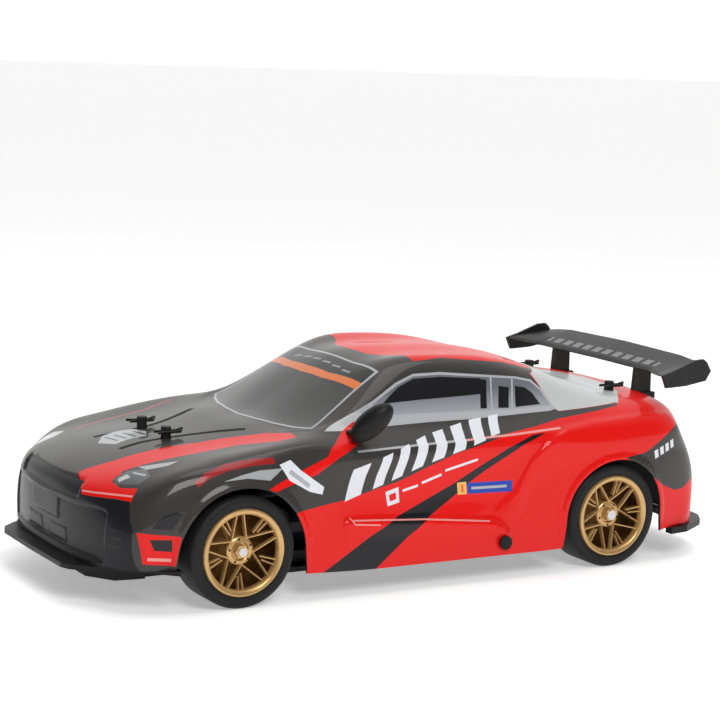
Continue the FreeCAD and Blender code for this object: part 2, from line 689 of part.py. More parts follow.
def steering_link():
    """One flat bar from knuckle to knuckle with a tongue to the servo's arm."""
    x = AXLE_X - STEER_ARM
    bar = block(x - 3.5, x + 3.5, -KINGPIN_Y, KINGPIN_Y, 38.6, 41.2)
    tongue = block(SERVO_X - STEER_ARM, x, -4, 4, 38.6, 41.2)
    ends = [rod((x, side * KINGPIN_Y, 38.6), (x, side * KINGPIN_Y, 41.2), 3.5) for side in (1, -1)]
    eye = rod((SERVO_X - STEER_ARM, 0, 38.6), (SERVO_X - STEER_ARM, 0, 41.2), 4.0)
    bar = bar.fuse([tongue, eye] + ends)
    for px, py in ((x, KINGPIN_Y), (x, -KINGPIN_Y), (SERVO_X - STEER_ARM, 0)):
        bar = bar.cut(rod((px, py, 30), (px, py, 50), PEG_R + 0.1))
    return bar


# ---------------------------------------------------------------- everything together
def keep_pair(name, left):
    """Store a left piece and its mirror image as two nodes."""
    keep(name + "_left", left)
    keep(name + "_right", mirrored(left))


def make_shell_group():
    """Shell and everything fixed to it."""
    blank = shell_blank()
    keep("body_shell", body_shell())
    keep("front_splitter", front_splitter())
    keep("rear_lip", rear_lip())
    keep("wing_blade", wing_blade())
    keep_pair("wing_stand", wing_stand(blank))
    keep("door_mirror_left", door_mirror(blank))
    keep("skirt_buttons", skirt_buttons(blank))
    clips = []
    for x, y in (FRONT_POST, REAR_POST):
        clips += [body_clip(x, y), body_clip(x, -y)]
    PIECES["body_clips"] = Part.makeCompound(clips)


def make_chassis():
    """Everything that stays with the lower deck, screws last so that they cut their holes."""
    keep("chassis_plate", chassis_plate())
    keep("front_lower_beam", front_lower_beam())
    keep("front_upper_beam", front_upper_beam())
    keep("foam_bumper", foam_bumper())
    keep("front_body_posts", front_body_posts())
    keep("rear_body_posts", rear_body_posts())
    keep("upper_deck", upper_deck())
    keep("battery_pack", battery_pack())
    keep("battery_strap", battery_strap())
    keep("speed_control", speed_control())
    keep("receiver", receiver())
    keep("steering_servo", steering_servo())
    keep("gear_case_left", gear_case_side(1))
    keep("gear_case_right", gear_case_side(-1))
    keep("motor_mount", motor_mount())
    keep("motor_can", motor_can())
    keep("switch_case", switch_case())
    keep("switch_knob", switch_knob())
    PIECES["shaft_bearings"] = shaft_bearings()
    PIECES["kingpins"] = kingpins()
    for beam in ("front_lower_beam", "front_upper_beam"):
        keep(beam, PIECES[beam].cut(PIECES["kingpins"]))
    keep("front_lower_beam", PIECES["front_lower_beam"].cut(PIECES["front_upper_beam"]))
    screws = Part.makeCompound([screw(x, y) for x, y in SCREWS])
    screwed = ["chassis_plate", "front_lower_beam", "front_upper_beam", "front_body_posts",
               "upper_deck", "battery_strap", "steering_servo", "gear_case_left",
               "gear_case_right"]
    for name in screwed:
        keep(name, PIECES[name].cut(screws))
    PIECES["chassis_screws"] = screws


def make_drive():
    """Rear shaft with its wheels and gear, and the motor's shaft."""
    keep("rear_shaft", rear_shaft())
    keep("spur_gear", spur_gear())
    keep("motor_shaft", motor_shaft())
    keep("pinion_gear", pinion_gear())
    PIECES["rear_hexes"] = rear_hexes()
    PIECES["rear_nuts"] = rear_nuts()
    keep_pair("rim_rear", rim(-AXLE_X, REAR_WHEEL_Y, REAR_SHAFT_R))
    keep_pair("tyre_rear", tyre(-AXLE_X, REAR_WHEEL_Y))


def make_front_end():
    """Suspension, steering and front wheels."""
    keep_pair("spring_seat", spring_seat())
    keep_pair("kingpin_spring", kingpin_spring())
    keep_pair("steering_knuckle", steering_knuckle())
    keep_pair("stub_axle", stub_axle())
    keep_pair("front_nut", front_nut())
    keep_pair("rim_front", rim(AXLE_X, FRONT_WHEEL_Y, STUB_R + RUN_FIT))
    keep_pair("tyre_front", tyre(AXLE_X, FRONT_WHEEL_Y))
    keep("servo_horn", servo_horn())
    keep("steering_link", steering_link())


def main():
    """Build and write every piece."""
    make_shell_group()
    make_chassis()
    make_drive()
    make_front_end()
    os.makedirs("parts", exist_ok=True)
    for name, shape in PIECES.items():
        for solid in shape.Solids:
            if solid.Volume < 0 or not solid.isClosed():
                print("bad solid in", name)
        shape.exportStep("parts/" + name + ".step")
        print(name, len(shape.Solids), round(shape.Volume, 1), shape.isValid())


main()
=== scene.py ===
import bpy
import math
import numpy as np
from mathutils import Matrix, Vector
from mathutils.geometry import tessellate_polygon


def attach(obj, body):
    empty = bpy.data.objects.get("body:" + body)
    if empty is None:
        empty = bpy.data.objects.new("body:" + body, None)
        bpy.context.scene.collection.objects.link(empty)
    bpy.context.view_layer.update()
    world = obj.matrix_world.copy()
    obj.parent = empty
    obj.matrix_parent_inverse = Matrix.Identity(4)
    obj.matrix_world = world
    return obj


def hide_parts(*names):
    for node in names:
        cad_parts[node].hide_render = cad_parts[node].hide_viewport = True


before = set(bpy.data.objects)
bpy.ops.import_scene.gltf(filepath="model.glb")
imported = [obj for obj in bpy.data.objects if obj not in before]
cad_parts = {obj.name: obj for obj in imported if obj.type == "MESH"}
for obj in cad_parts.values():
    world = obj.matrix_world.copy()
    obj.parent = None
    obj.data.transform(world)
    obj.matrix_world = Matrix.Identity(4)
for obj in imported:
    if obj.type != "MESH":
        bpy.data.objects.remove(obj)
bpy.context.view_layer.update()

# Lengths are millimetres unless a line says otherwise.
MM = 0.001
AXLE_X = 128.5
AXLE_Z = 32.5
FRONT_TRACK = 81.5      # middle of a wheel to the middle of the car
REAR_TRACK = 79.5
FRONT_ARCH = (39.0, 30.5, 41.5)     # radius, height of its centre, half width at the foot
REAR_ARCH = (37.0, 31.5, 40.0)
POSTS = [(142, 17), (142, -17), (-156, 45), (-156, -45)]
POST_HOLE_R = 3.6
SHELL_WALL = 1.2
LOWEST_DECK = 55        # everything painted or drilled from above lies higher
CABIN_SIDE = 40         # everything painted on a flank lies further out
LOWEST_GLASS = 90       # side windows and pillars lie above this
UPWARD = 0.12           # vertical part of the normal that counts as facing up
CELL = 8.0              # size of the squares that faces are sorted into
EDGE_SLACK = 1e-4       # closer to a cutting line than this counts as on it
FLAT_TRIANGLE = 1e-6    # a smaller area than this is left out

# ---------- shell net
# Half sections of the shell in millimetres, nose first, from the rim up to the centre line.
SECTIONS = [
    [(162, 90, 25), (171, 89, 25), (180, 87, 25), (190, 83, 25),
     (198.5, 72, 25), (204, 54, 25), (208, 30, 25), (209, 0, 25)],
    [(155, 92.5, 22), (163, 92, 33), (172, 90.5, 42), (188, 86, 46),
     (197.5, 73.5, 47), (204.5, 54, 48), (209.5, 28, 48), (210.5, 0, 48)],
    [(146, 94, 19), (154, 94.5, 40), (163, 92.5, 56), (180, 86, 63.5),
     (191, 73, 63.5), (201, 55, 64.5), (207.5, 28, 65.5), (209, 0, 66)],
    [(138, 95, 18), (143, 96, 46), (152, 93, 66), (168, 86, 74),
     (180, 73, 72.3), (192, 54, 71.6), (199.5, 28, 71.8), (202, 0, 72)],
    [(129, 95.5, 18), (130, 97, 52), (132, 94, 73), (143, 86, 81.5),
     (154, 72, 81), (165, 53, 79.5), (172, 28, 80), (174, 0, 80.3)],
    [(112, 95.5, 18), (112, 97, 50), (111, 94, 74), (112, 86.5, 86.5),
     (118, 73, 87), (125, 53, 85.5), (130, 28, 86), (131, 0, 86.3)],
    [(92, 95, 17), (91, 94.5, 46), (88, 92, 72), (82, 87, 88),
     (80, 74, 92.5), (88, 55, 91.5), (95, 28, 92), (97, 0, 92)],
    [(66, 95.2, 16), (65, 92.5, 46), (64, 91, 70), (63, 89.5, 85),
     (67, 75, 93.8), (70, 65, 94.3), (78, 32, 95), (80, 0, 95)],
    [(20, 95.4, 15.5), (18, 92, 44), (16, 90.5, 68), (15, 89.5, 85),
     (14, 76, 95.5), (10, 60.5, 121.5), (22, 34, 126), (25, 0, 127)],
    [(-16, 95.4, 15.5), (-16, 92, 44), (-16, 90.5, 67), (-16, 90, 84.8),
     (-16, 76.5, 96.3), (-18, 60.5, 125.5), (-16, 34, 130.2), (-16, 0, 131.2)],
    [(-52, 95.2, 15.5), (-52, 92.3, 43), (-52, 91.2, 67), (-52, 90.7, 85),
     (-52, 76.8, 97.3), (-55, 61, 123), (-58, 34, 128.2), (-59, 0, 129.2)],
    [(-80, 95, 15.5), (-80, 93.5, 44), (-80, 93, 68), (-80, 91.8, 86.2),
     (-82, 77, 99), (-86, 62, 116.5), (-92, 34, 121.5), (-94, 0, 122.5)],
    [(-110, 95, 16), (-111, 96, 46), (-112, 95.5, 72), (-112, 91.5, 88),
     (-114, 77.5, 100), (-118, 62.5, 107.5), (-124, 34, 110.5), (-126, 0, 111)],
    [(-141, 94.5, 16), (-141, 95.5, 48), (-143, 94.5, 74), (-146, 89, 90.5),
     (-149, 76.5, 99), (-151, 61, 102), (-154, 34, 103), (-155, 0, 103.2)],
    [(-163, 92, 19), (-164, 92.5, 46), (-168, 91, 70), (-175, 84, 87.5),
     (-181, 74, 94), (-184, 60, 96.8), (-187, 33, 98.5), (-188, 0, 99)],
    [(-176, 89, 20.5), (-180, 88.5, 42), (-185, 86.5, 61), (-190.5, 80, 73),
     (-195, 71, 77.5), (-199.5, 57, 79), (-203, 32, 80), (-204, 0, 80)],
    [(-185, 87, 21), (-191, 85.5, 36), (-197, 82, 48), (-202, 76, 54.5),
     (-205.5, 67.5, 56), (-208.5, 54, 56.5), (-211, 31, 57), (-212, 0, 57)],
    [(-190, 86, 21), (-196, 83, 21), (-201, 78, 21), (-204.5, 70.5, 21),
     (-207, 61, 21), (-209, 48, 21), (-210.5, 27, 21), (-211, 0, 21)],
]


def spline_weights(knots, samples):
    """Matrix that turns values at the knots into natural cubic spline values at the samples."""
    n = len(knots)
    h = np.diff(knots)
    left = np.eye(n)
    right = np.zeros((n, n))
    for k in range(1, n - 1):
        left[k, k - 1:k + 2] = (h[k - 1], 2 * (h[k - 1] + h[k]), h[k])
        right[k, k - 1:k + 2] = (6 / h[k - 1], -6 / h[k - 1] - 6 / h[k], 6 / h[k])
    bend = np.linalg.solve(left, right)
    rows = []
    for t in samples:
        k = min(max(np.searchsorted(knots, t) - 1, 0), n - 2)
        b = (t - knots[k]) / h[k]
        a = 1 - b
        row = np.zeros(n)
        row[k] += a
        row[k + 1] += b
        row += bend[k] * (a ** 3 - a) * h[k] ** 2 / 6
        row += bend[k + 1] * (b ** 3 - b) * h[k] ** 2 / 6
        rows.append(row)
    return np.array(rows)


def mean_chords(points, axis):
    """Knot values along one direction of the net, by mean distance."""
    steps = np.linalg.norm(np.diff(points, axis=axis), axis=2).mean(axis=1 - axis)
    knots = np.concatenate([[0], np.cumsum(steps)])
    return knots / knots[-1]


def shell_grid(rows, columns):
    """Points on the smooth shell, nose to tail by left rim to right rim."""
    half = np.array(SECTIONS, float)
    net = np.concatenate([half, (half * (1, -1, 1))[:, ::-1][:, 1:]], axis=1)
    along = spline_weights(mean_chords(net, 0), np.linspace(0, 1, rows))
    across = spline_weights(mean_chords(net, 1), np.linspace(0, 1, columns))
    return np.einsum("ai,ijk,bj->abk", along, net, across)


def grid_normals(points):
    """Outward unit normals of a grid of points."""
    along = np.gradient(points, axis=0)
    across = np.gradient(points, axis=1)
    normals = np.cross(along, across)
    length = np.linalg.norm(normals, axis=2, keepdims=True)
    return normals / np.maximum(length, 1e-9)


def ramp(value, low, high):
    """Smooth step from 0 at low to 1 at high."""
    t = np.clip((value - low) / (high - low), 0, 1)
    return t * t * (3 - 2 * t)


def placed(name, data):
    """Object in the scene from a mesh, a lamp or a camera."""
    obj = bpy.data.objects.new(name, data)
    bpy.context.scene.collection.objects.link(obj)
    return obj


# ---------- meshes that can be cut and painted
class Skin:
    """Faces with smooth normals and one paint per face."""

    def __init__(self, points, normals, faces, paint):
        self.points = [tuple(p) for p in points]
        self.normals = [tuple(n) for n in normals]
        self.faces = faces
        self.paints = [paint] * len(faces)
        self.cut_points = set()
        self.cells = {}

    def cell_of(self, number, flat):
        """Square of the plane that the first corner of a face falls in."""
        p = self.points[self.faces[number][0]]
        return int(p[flat[0]] // CELL), int(p[flat[1]] // CELL)

    def near(self, low, high, flat):
        """Numbers of the faces that may touch a box of the plane."""
        if flat not in self.cells:
            cells = {}
            for number, face in enumerate(self.faces):
                if face is not None:
                    cells.setdefault(self.cell_of(number, flat), []).append(number)
            self.cells[flat] = cells
        cells = self.cells[flat]
        first = [int((c - CELL) // CELL) for c in low]
        last = [int((c + CELL) // CELL) for c in high]
        return [number for i in range(first[0], last[0] + 1) for j in range(first[1], last[1] + 1)
                for number in cells.get((i, j), [])]

    def add_face(self, face, paint):
        """Add a face and sort it into the squares."""
        self.faces.append(face)
        self.paints.append(paint)
        number = len(self.faces) - 1
        for flat, cells in self.cells.items():
            cells.setdefault(self.cell_of(number, flat), []).append(number)

    def middle_of(self, a, b, t):
        """New point part way along an edge."""
        p, q = self.points[a], self.points[b]
        m, n = self.normals[a], self.normals[b]
        self.points.append(tuple(p[k] + (q[k] - p[k]) * t for k in range(3)))
        self.normals.append(tuple(m[k] + (n[k] - m[k]) * t for k in range(3)))
        return len(self.points) - 1

    def split(self, face, flat, origin, edge, cache):
        """Split one face by a line of the outline into its inner and outer parts."""
        inner, outer = [], []
        distances = [self.side(i, flat, origin, edge) for i in face]
        if min(distances) > -EDGE_SLACK:
            return list(face), []
        if max(distances) < EDGE_SLACK:
            return [], list(face)
        for k in range(len(face)):
            after = (k + 1) % len(face)
            a, b = face[k], face[after]
            sa, sb = distances[k], distances[after]
            if sa > -EDGE_SLACK:
                inner.append(a)
            if sa < EDGE_SLACK:
                outer.append(a)
            if min(sa, sb) < -EDGE_SLACK and max(sa, sb) > EDGE_SLACK:
                key = (min(a, b), max(a, b))
                if key not in cache:
                    cache[key] = self.middle_of(a, b, sa / (sa - sb))
                inner.append(cache[key])
                outer.append(cache[key])
        return inner, outer

    def side(self, index, flat, origin, edge):
        """Signed distance of a point from a line of the outline, inside positive."""
        p = self.points[index]
        u, v = p[flat[0]] - origin[0], p[flat[1]] - origin[1]
        return edge[0] * v - edge[1] * u

    def region(self, triangle, flat, allowed, action):
        """Give the faces inside one triangle to an action, splitting the ones it crosses."""
        area = ((triangle[1][0] - triangle[0][0]) * (triangle[2][1] - triangle[0][1])
                - (triangle[1][1] - triangle[0][1]) * (triangle[2][0] - triangle[0][0]))
        if abs(area) < FLAT_TRIANGLE:
            return
        if area < 0:
            triangle = triangle[::-1]
        low = [min(c[k] for c in triangle) for k in (0, 1)]
        high = [max(c[k] for c in triangle) for k in (0, 1)]
        caches = [{}, {}, {}]
        for number in self.near(low, high, flat):
            face = self.faces[number]
            if face is None:
                continue
            us = [self.points[i][flat[0]] for i in face]
            vs = [self.points[i][flat[1]] for i in face]
            if max(us) < low[0] or min(us) > high[0] or max(vs) < low[1] or min(vs) > high[1]:
                continue
            if not allowed(self.points[face[0]], self.normals[face[0]]):
                continue
            current = list(face)
            outside = []
            for k in range(3):
                a, b = triangle[k], triangle[(k + 1) % 3]
                span = math.hypot(b[0] - a[0], b[1] - a[1])
                edge = ((b[0] - a[0]) / span, (b[1] - a[1]) / span)
                current, rest = self.split(current, flat, a, edge, caches[k])
                if len(rest) > 2:
                    outside.append(rest)
                if len(current) < 3:
                    current = None
                    break
            if current is None:
                continue
            if outside:
                self.faces[number] = current
                for rest in outside:
                    self.add_face(rest, self.paints[number])
            action(number)

    def fill(self, outline, flat, allowed, paint):
        """Paint everything inside an outline; paint None cuts it away."""

        def action(number):
            if paint is None:
                self.cut_points.update(self.faces[number])
                self.faces[number] = None
            else:
                self.paints[number] = paint

        triangles = tessellate_polygon([[Vector((u, v, 0)) for u, v in outline]])
        for triangle in triangles:
            self.region([outline[k] for k in triangle], flat, allowed, action)

    def add_rim(self, wall, paint):
        """Turn the skin inwards round its outer border and round every cut."""
        once = {}
        for face in self.faces:
            for k in range(len(face or ())):
                a, b = face[k], face[(k + 1) % len(face)]
                if (b, a) in once:
                    del once[(b, a)]
                else:
                    once[(a, b)] = True
        rim = [(a, b) for a, b in once if a in self.cut_points and b in self.cut_points]
        inner = {}
        for index in sorted({i for edge in rim for i in edge}):
            p, n = self.points[index], self.normals[index]
            self.points.append(tuple(p[k] - n[k] * wall for k in range(3)))
            self.normals.append(n)
            inner[index] = len(self.points) - 1
        for a, b in rim:
            self.faces.append([b, a, inner[a], inner[b]])
            self.paints.append(paint)

    def build(self, name, paints):
        """Blender object of what is left."""
        used = [k for k, face in enumerate(self.faces) if face is not None]
        faces = [self.faces[k] for k in used]
        keep = sorted({i for face in faces for i in face})
        index = {old: new for new, old in enumerate(keep)}
        mesh = bpy.data.meshes.new(name)
        mesh.from_pydata([[c * MM for c in self.points[i]] for i in keep], [],
                         [[index[i] for i in face] for face in faces])
        order = sorted({self.paints[k] for k in used})
        for key in order:
            mesh.materials.append(paints[key])
        mesh.polygons.foreach_set("material_index", [order.index(self.paints[k]) for k in used])
        mesh.polygons.foreach_set("use_smooth", [True] * len(faces))
        mesh.normals_split_custom_set_from_vertices([self.normals[i] for i in keep])
        return placed(name, mesh)


def widened(path, width):
    """Outline of a line of even width along a path."""
    left, right = [], []
    for k, (x, y) in enumerate(path):
        before, after = path[max(k - 1, 0)], path[min(k + 1, len(path) - 1)]
        along = Vector((after[0] - before[0], after[1] - before[1])).normalized()
        left.append((x - along.y * width / 2, y + along.x * width / 2))
        right.append((x + along.y * width / 2, y - along.x * width / 2))
    return left + right[::-1]


def grid_faces(rows, columns):
    """Quads of a grid, wound so that they face outwards."""
    return [[i * columns + j, (i + 1) * columns + j, (i + 1) * columns + j + 1, i * columns + j + 1]
            for i in range(rows - 1) for j in range(columns - 1)]


# ---------- materials
def principled(name, colour, rough, metal=0, coat=0, coat_rough=0.03, spec=0.18):
    """Plain shader material; returns it with its node tree and shader node."""
    mat = bpy.data.materials.new(name)
    mat.use_nodes = True
    tree = mat.node_tree
    shader = tree.nodes["Principled BSDF"]
    shader.inputs["Base Color"].default_value = (*colour, 1)
    shader.inputs["Roughness"].default_value = rough
    shader.inputs["Metallic"].default_value = metal
    shader.inputs["Coat Weight"].default_value = coat
    shader.inputs["Coat Roughness"].default_value = coat_rough
    shader.inputs["Specular IOR Level"].default_value = spec
    return mat, tree, shader


def two_tone(tree, value, target, first, last):
    """Give a target a colour that runs from one tone to another as a value goes from 0 to 1."""
    shades = tree.nodes.new("ShaderNodeValToRGB")
    shades.color_ramp.elements[0].color = (*first, 1)
    shades.color_ramp.elements[1].color = (*last, 1)
    tree.links.new(value, shades.inputs["Fac"])
    tree.links.new(shades.outputs["Color"], target)
    return shades


def object_axes(tree):
    """Outputs X, Y and Z of the place on the object, in metres."""
    coords = tree.nodes.new("ShaderNodeTexCoord")
    axes = tree.nodes.new("ShaderNodeSeparateXYZ")
    tree.links.new(coords.outputs["Object"], axes.inputs[0])
    return axes.outputs


def mottled(tree, shader, dark, light, scale, bump=0):
    """Vary a colour slightly with noise in object space, with an optional fine bump."""
    coords = tree.nodes.new("ShaderNodeTexCoord")
    noise = tree.nodes.new("ShaderNodeTexNoise")
    noise.inputs["Scale"].default_value = scale
    noise.inputs["Detail"].default_value = 3
    tree.links.new(coords.outputs["Object"], noise.inputs["Vector"])
    two_tone(tree, noise.outputs["Fac"], shader.inputs["Base Color"], dark, light)
    if bump:
        node = tree.nodes.new("ShaderNodeBump")
        node.inputs["Strength"].default_value = bump
        node.inputs["Distance"].default_value = 0.2 * MM
        tree.links.new(noise.outputs["Fac"], node.inputs["Height"])
        tree.links.new(node.outputs["Normal"], shader.inputs["Normal"])


def red_paint():
    """Bright red of the shell."""
    mat, tree, shader = principled("red_paint", (0.74, 0.008, 0.006), 0.42, 0, 0.35, 0.03, 0.08)
    mottled(tree, shader, (0.71, 0.007, 0.005), (0.78, 0.010, 0.008), 9)
    return mat


def charcoal_paint():
    """Brownish dark grey of bonnet and roof edges."""
    mat, tree, shader = principled("charcoal_paint", (0.044, 0.041, 0.038), 0.42, 0.1, 0.4, 0.04, 0.1)
    mottled(tree, shader, (0.038, 0.036, 0.033), (0.050, 0.047, 0.043), 14)
    return mat


def gloss(name, colour, rough=0.35, coat=0.3, metal=0):
    """Glossy colour with a faint unevenness."""
    mat, tree, shader = principled(name, colour, rough, metal, coat, 0.05)
    darker = tuple(c * 0.94 for c in colour)
    lighter = tuple(min(c * 1.05, 1) for c in colour)
    mottled(tree, shader, darker, lighter, 20)
    return mat


def matt_black(name, shade, rough):
    """Black moulded plastic with a fine grain."""
    mat, tree, shader = principled(name, (shade,) * 3, rough)
    mottled(tree, shader, (shade * 0.8,) * 3, (shade * 1.3,) * 3, 60, 0.08)
    return mat


def shaded_by_height(tree, shader, bottom, top, foot_colour, top_colour):
    """Blend from one colour to another between two heights."""
    span = tree.nodes.new("ShaderNodeMapRange")
    span.inputs["From Min"].default_value = bottom * MM
    span.inputs["From Max"].default_value = top * MM
    tree.links.new(object_axes(tree)["Z"], span.inputs["Value"])
    two_tone(tree, span.outputs["Result"], shader.inputs["Base Color"], foot_colour, top_colour)


def tinted_glass():
    """Dark windscreen, paler towards its foot; the paler foot is a painted reflection."""
    mat, tree, shader = principled("tinted_glass", (0.03, 0.03, 0.032), 0.35, 0, 0.3, 0.06)
    shaded_by_height(tree, shader, 94, 124, (0.075, 0.073, 0.072), (0.022, 0.021, 0.020))
    return mat


def side_window():
    """Side glass with a painted reflection, pale at the foot and darker at the top."""
    mat, tree, shader = principled("side_window", (0.3, 0.31, 0.33), 0.25, 0, 0.4, 0.04)
    shaded_by_height(tree, shader, 100, 113, (0.34, 0.36, 0.39), (0.14, 0.15, 0.17))
    return mat


def gold_metal():
    """Painted gold of the wheel faces."""
    mat, tree, shader = principled("gold_metal", (0.60, 0.38, 0.15), 0.34, 0.55, 0.3)
    mottled(tree, shader, (0.55, 0.34, 0.13), (0.65, 0.42, 0.18), 40)
    return mat


def gold_in_painted_shade():
    """Gold inside the wheels darkened with painted shade, unevenly dark."""
    mat, tree, shader = principled("gold_in_painted_shade", (0.12, 0.05, 0.012), 0.42, 0.5)
    mottled(tree, shader, (0.035, 0.012, 0.003), (0.24, 0.12, 0.03), 90)
    return mat


def tyre_rubber():
    """Dull black rubber."""
    mat, tree, shader = principled("tyre_rubber", (0.014, 0.014, 0.015), 0.5)
    mottled(tree, shader, (0.011, 0.011, 0.012), (0.019, 0.019, 0.020), 70, 0.1)
    return mat


PAINTS = {
    "red": red_paint(),
    # pale red strokes: painted highlights on the ridges and edges of the red
    "pale_red": gloss("pale_red", (0.80, 0.30, 0.28)),
    "dark_red": gloss("dark_red_print", (0.32, 0.012, 0.012)),
    "charcoal": charcoal_paint(),
    "pale": gloss("pale_silver", (0.50, 0.51, 0.51)),
    "rear_glass": gloss("rear_glass", (0.40, 0.41, 0.42)),
    "pale_print": gloss("pale_print", (0.42, 0.43, 0.45)),
    "front_black": gloss("front_black", (0.010, 0.010, 0.012), 0.4, 0.12),
    "panel": gloss("panel_grey", (0.026, 0.026, 0.027), 0.45, 0.15),
    "deep_black": matt_black("deep_black", 0.004, 0.7),
    "gloss_black": gloss("gloss_black", (0.010, 0.010, 0.012)),
    "lens": gloss("lamp_lens", (0.035, 0.036, 0.042), 0.12, 1),
    "lamp": gloss("lamp_white", (0.80, 0.80, 0.80)),
    "lamp_red": gloss("lamp_red", (0.30, 0.006, 0.006), 0.15, 1),
    "glass": tinted_glass(),
    "window_grey": side_window(),
    "banner": gloss("banner_black", (0.020, 0.019, 0.018), 0.3, 0.2),
    # silver lines: painted highlights on the moulded ridges round the windows and along the belt
    "silver": gloss("painted_highlight_line", (0.40, 0.41, 0.43)),
    "white": gloss("white_print", (0.74, 0.76, 0.80)),
    "grey": gloss("grey_print", (0.25, 0.26, 0.28)),
    "grey_print": gloss("grey_accent", (0.36, 0.38, 0.38)),
    "blue": gloss("blue_print", (0.012, 0.055, 0.40)),
    "orange": gloss("orange_print", (0.72, 0.17, 0.035)),
    "yellow": gloss("yellow_print", (0.80, 0.47, 0.12)),
}


# ---------- body shell
def arch_outline(x, arch):
    """Outline of a wheel opening in the side view."""
    radius, height, foot = arch
    top = [(x + radius * math.cos(a), height + radius * math.sin(a))
           for a in np.linspace(0.0, math.pi, 41)]
    return top + [(x - foot, 5.0), (x + foot, 5.0)]


def circle_outline(x, y, radius, count=24):
    """Round outline with a given number of corners."""
    return [(x + radius * math.cos(a), y + radius * math.sin(a))
            for a in np.linspace(0, 2 * math.pi, count, endpoint=False)]


def at_side(sign, low_z=0.0):
    """Only faces on one side of the car."""
    return lambda p, n: p[1] * sign > CABIN_SIDE and p[2] > low_z


def facing_up(p, n):
    """Outer faces of bonnet, roof and deck."""
    return n[2] > UPWARD and p[2] > LOWEST_DECK


def facing_down(p, n):
    """Inner faces of bonnet, roof and deck."""
    return n[2] < -UPWARD and p[2] > LOWEST_DECK


def at_nose(p, n):
    """Faces of the front bumper."""
    return p[0] > 172 and n[2] < 0.93


def at_tail(p, n):
    """Faces of the rear bumper and tail."""
    return n[0] < -0.3 and p[0] < -160


def paint_both(skin, view, outline, paint, low_z=0.0, signs=(1, -1)):
    """Paint an outline given for the left half, and its mirror image."""
    for sign in signs:
        if view == "side":
            skin.fill(outline, (0, 2), at_side(sign, low_z), paint)
        elif view == "top":
            skin.fill([(x, sign * y) for x, y in outline], (0, 1), facing_up, paint)
        else:
            allowed = at_nose if view == "nose" else at_tail
            skin.fill([(sign * y, z) for y, z in outline], (1, 2), allowed, paint)


def paint_left(skin, view, outline, paint):
    """Paint an outline on the left half only."""
    paint_both(skin, view, outline, paint, signs=(1,))


def paint_list(skin, view, prints, low_z=0.0):
    """Paint several outlines on both halves, in the order of the list."""
    for outline, paint in prints:
        paint_both(skin, view, outline, paint, low_z)


def line_height(path, x):
    """Height of an open line at each X; the line runs from high X to low X."""
    xs, zs = zip(*path[::-1])
    return np.interp(x, xs, zs)


SILL_TOP = [(63, 46), (60, 46.3), (9, 43), (-38, 38.2), (-46, 35), (-50, 31)]
BELT_CREASE = [(62, 83.6), (42, 84.6), (9, 85.4), (-41, 86.8), (-87, 89.6), (-110, 92.5)]
FLARE_LINE = [(-38, 42), (-48, 49), (-56.6, 56), (-64.7, 72.8), (-76, 83), (-92, 89.5),
              (-112, 92.5), (-150, 94)]
HOOD_VENT = [(172, 19), (158, 16.5), (142, 17), (128, 21), (114, 27.5), (100, 36)]


def shell_displacement(points, normals):
    """Pressed details of the shell: arch lips, flares, sill, belt crease and nose."""
    x, y, z = points[..., 0], points[..., 1], points[..., 2]
    side = ramp(np.abs(y), 76, 84)
    raised = np.zeros_like(x)
    for axle, (radius, height, _) in ((AXLE_X, FRONT_ARCH), (-AXLE_X, REAR_ARCH)):
        reach = np.hypot(x - axle, z - height) - radius
        raised += side * 0.9 * (1 - ramp(reach, 2.4, 3.8))
    sill = (z < line_height(SILL_TOP, x)) & (x < 64) & (x > -50)
    below = line_height(SILL_TOP, x) - z
    raised += side * sill * 1.7 * ramp(below, 0, 1.6) * (1 - ramp(below, 5, 12))
    under = line_height(BELT_CREASE, x) - z
    fade = ramp(x, -108, -80) * (1 - ramp(x, 56, 66))
    raised += side * fade * 1.1 * ramp(under, -0.8, 0.8) * (1 - ramp(under, 2, 16))
    flare = np.minimum(line_height(FLARE_LINE, x) - z, 60)
    behind = 1 - ramp(x, -70, -38)
    raised += side * behind * 1.8 * ramp(flare, -1.5, 2.5) * (1 - ramp(flare, 8, 26))
    raised += nose_relief(x, np.abs(y), z)
    return points + normals * raised[..., None]


def window(value, low, high, soft):
    """1 between two limits, falling to 0 over a soft edge outside them."""
    return ramp(value, low - soft, low) * (1 - ramp(value, high, high + soft))


def nose_relief(x, y, z):
    """Openings, bar and blocks pressed into the front bumper."""
    front = ramp(x, 176, 188)
    relief = -1.6 * window(y, -1, 40, 2) * window(z, 60, 68.5, 1.2)
    relief -= 2.2 * window(y, 5.5, 20.5, 1.2) * window(z, 62.5, 67, 1.2)
    relief -= 2.4 * window(y, -1, 64, 2) * window(z, 29, 54.5, 1.5)
    relief += 2 * window(y, -1, 19.5, 1) * window(z, 42, 54, 1)
    relief += 1.6 * window(y, 5.5, 29, 1) * window(z, 30, 39.5, 1)
    return front * relief


def shell_skin(rows=285, columns=225):
    """Bare red skin with its pressed details and openings."""
    points = shell_grid(rows, columns)
    points = shell_displacement(points, grid_normals(points))
    normals = grid_normals(points)
    skin = Skin(points.reshape(-1, 3), normals.reshape(-1, 3), grid_faces(rows, columns), "red")
    skin.cut_points.update(range(columns))
    skin.cut_points.update(range((rows - 1) * columns, rows * columns))
    for i in range(rows):
        skin.cut_points.update((i * columns, i * columns + columns - 1))
    open_shell(skin)
    return skin


def open_shell(skin, facing=facing_up):
    """Cut the wheel openings and the post holes."""
    for x, arch in ((AXLE_X, FRONT_ARCH), (-AXLE_X, REAR_ARCH)):
        for sign in (1, -1):
            skin.fill(arch_outline(x, arch), (0, 2), at_side(sign), None)
    for x, y in POSTS:
        skin.fill(circle_outline(x, y, POST_HOLE_R), (0, 1), facing, None)


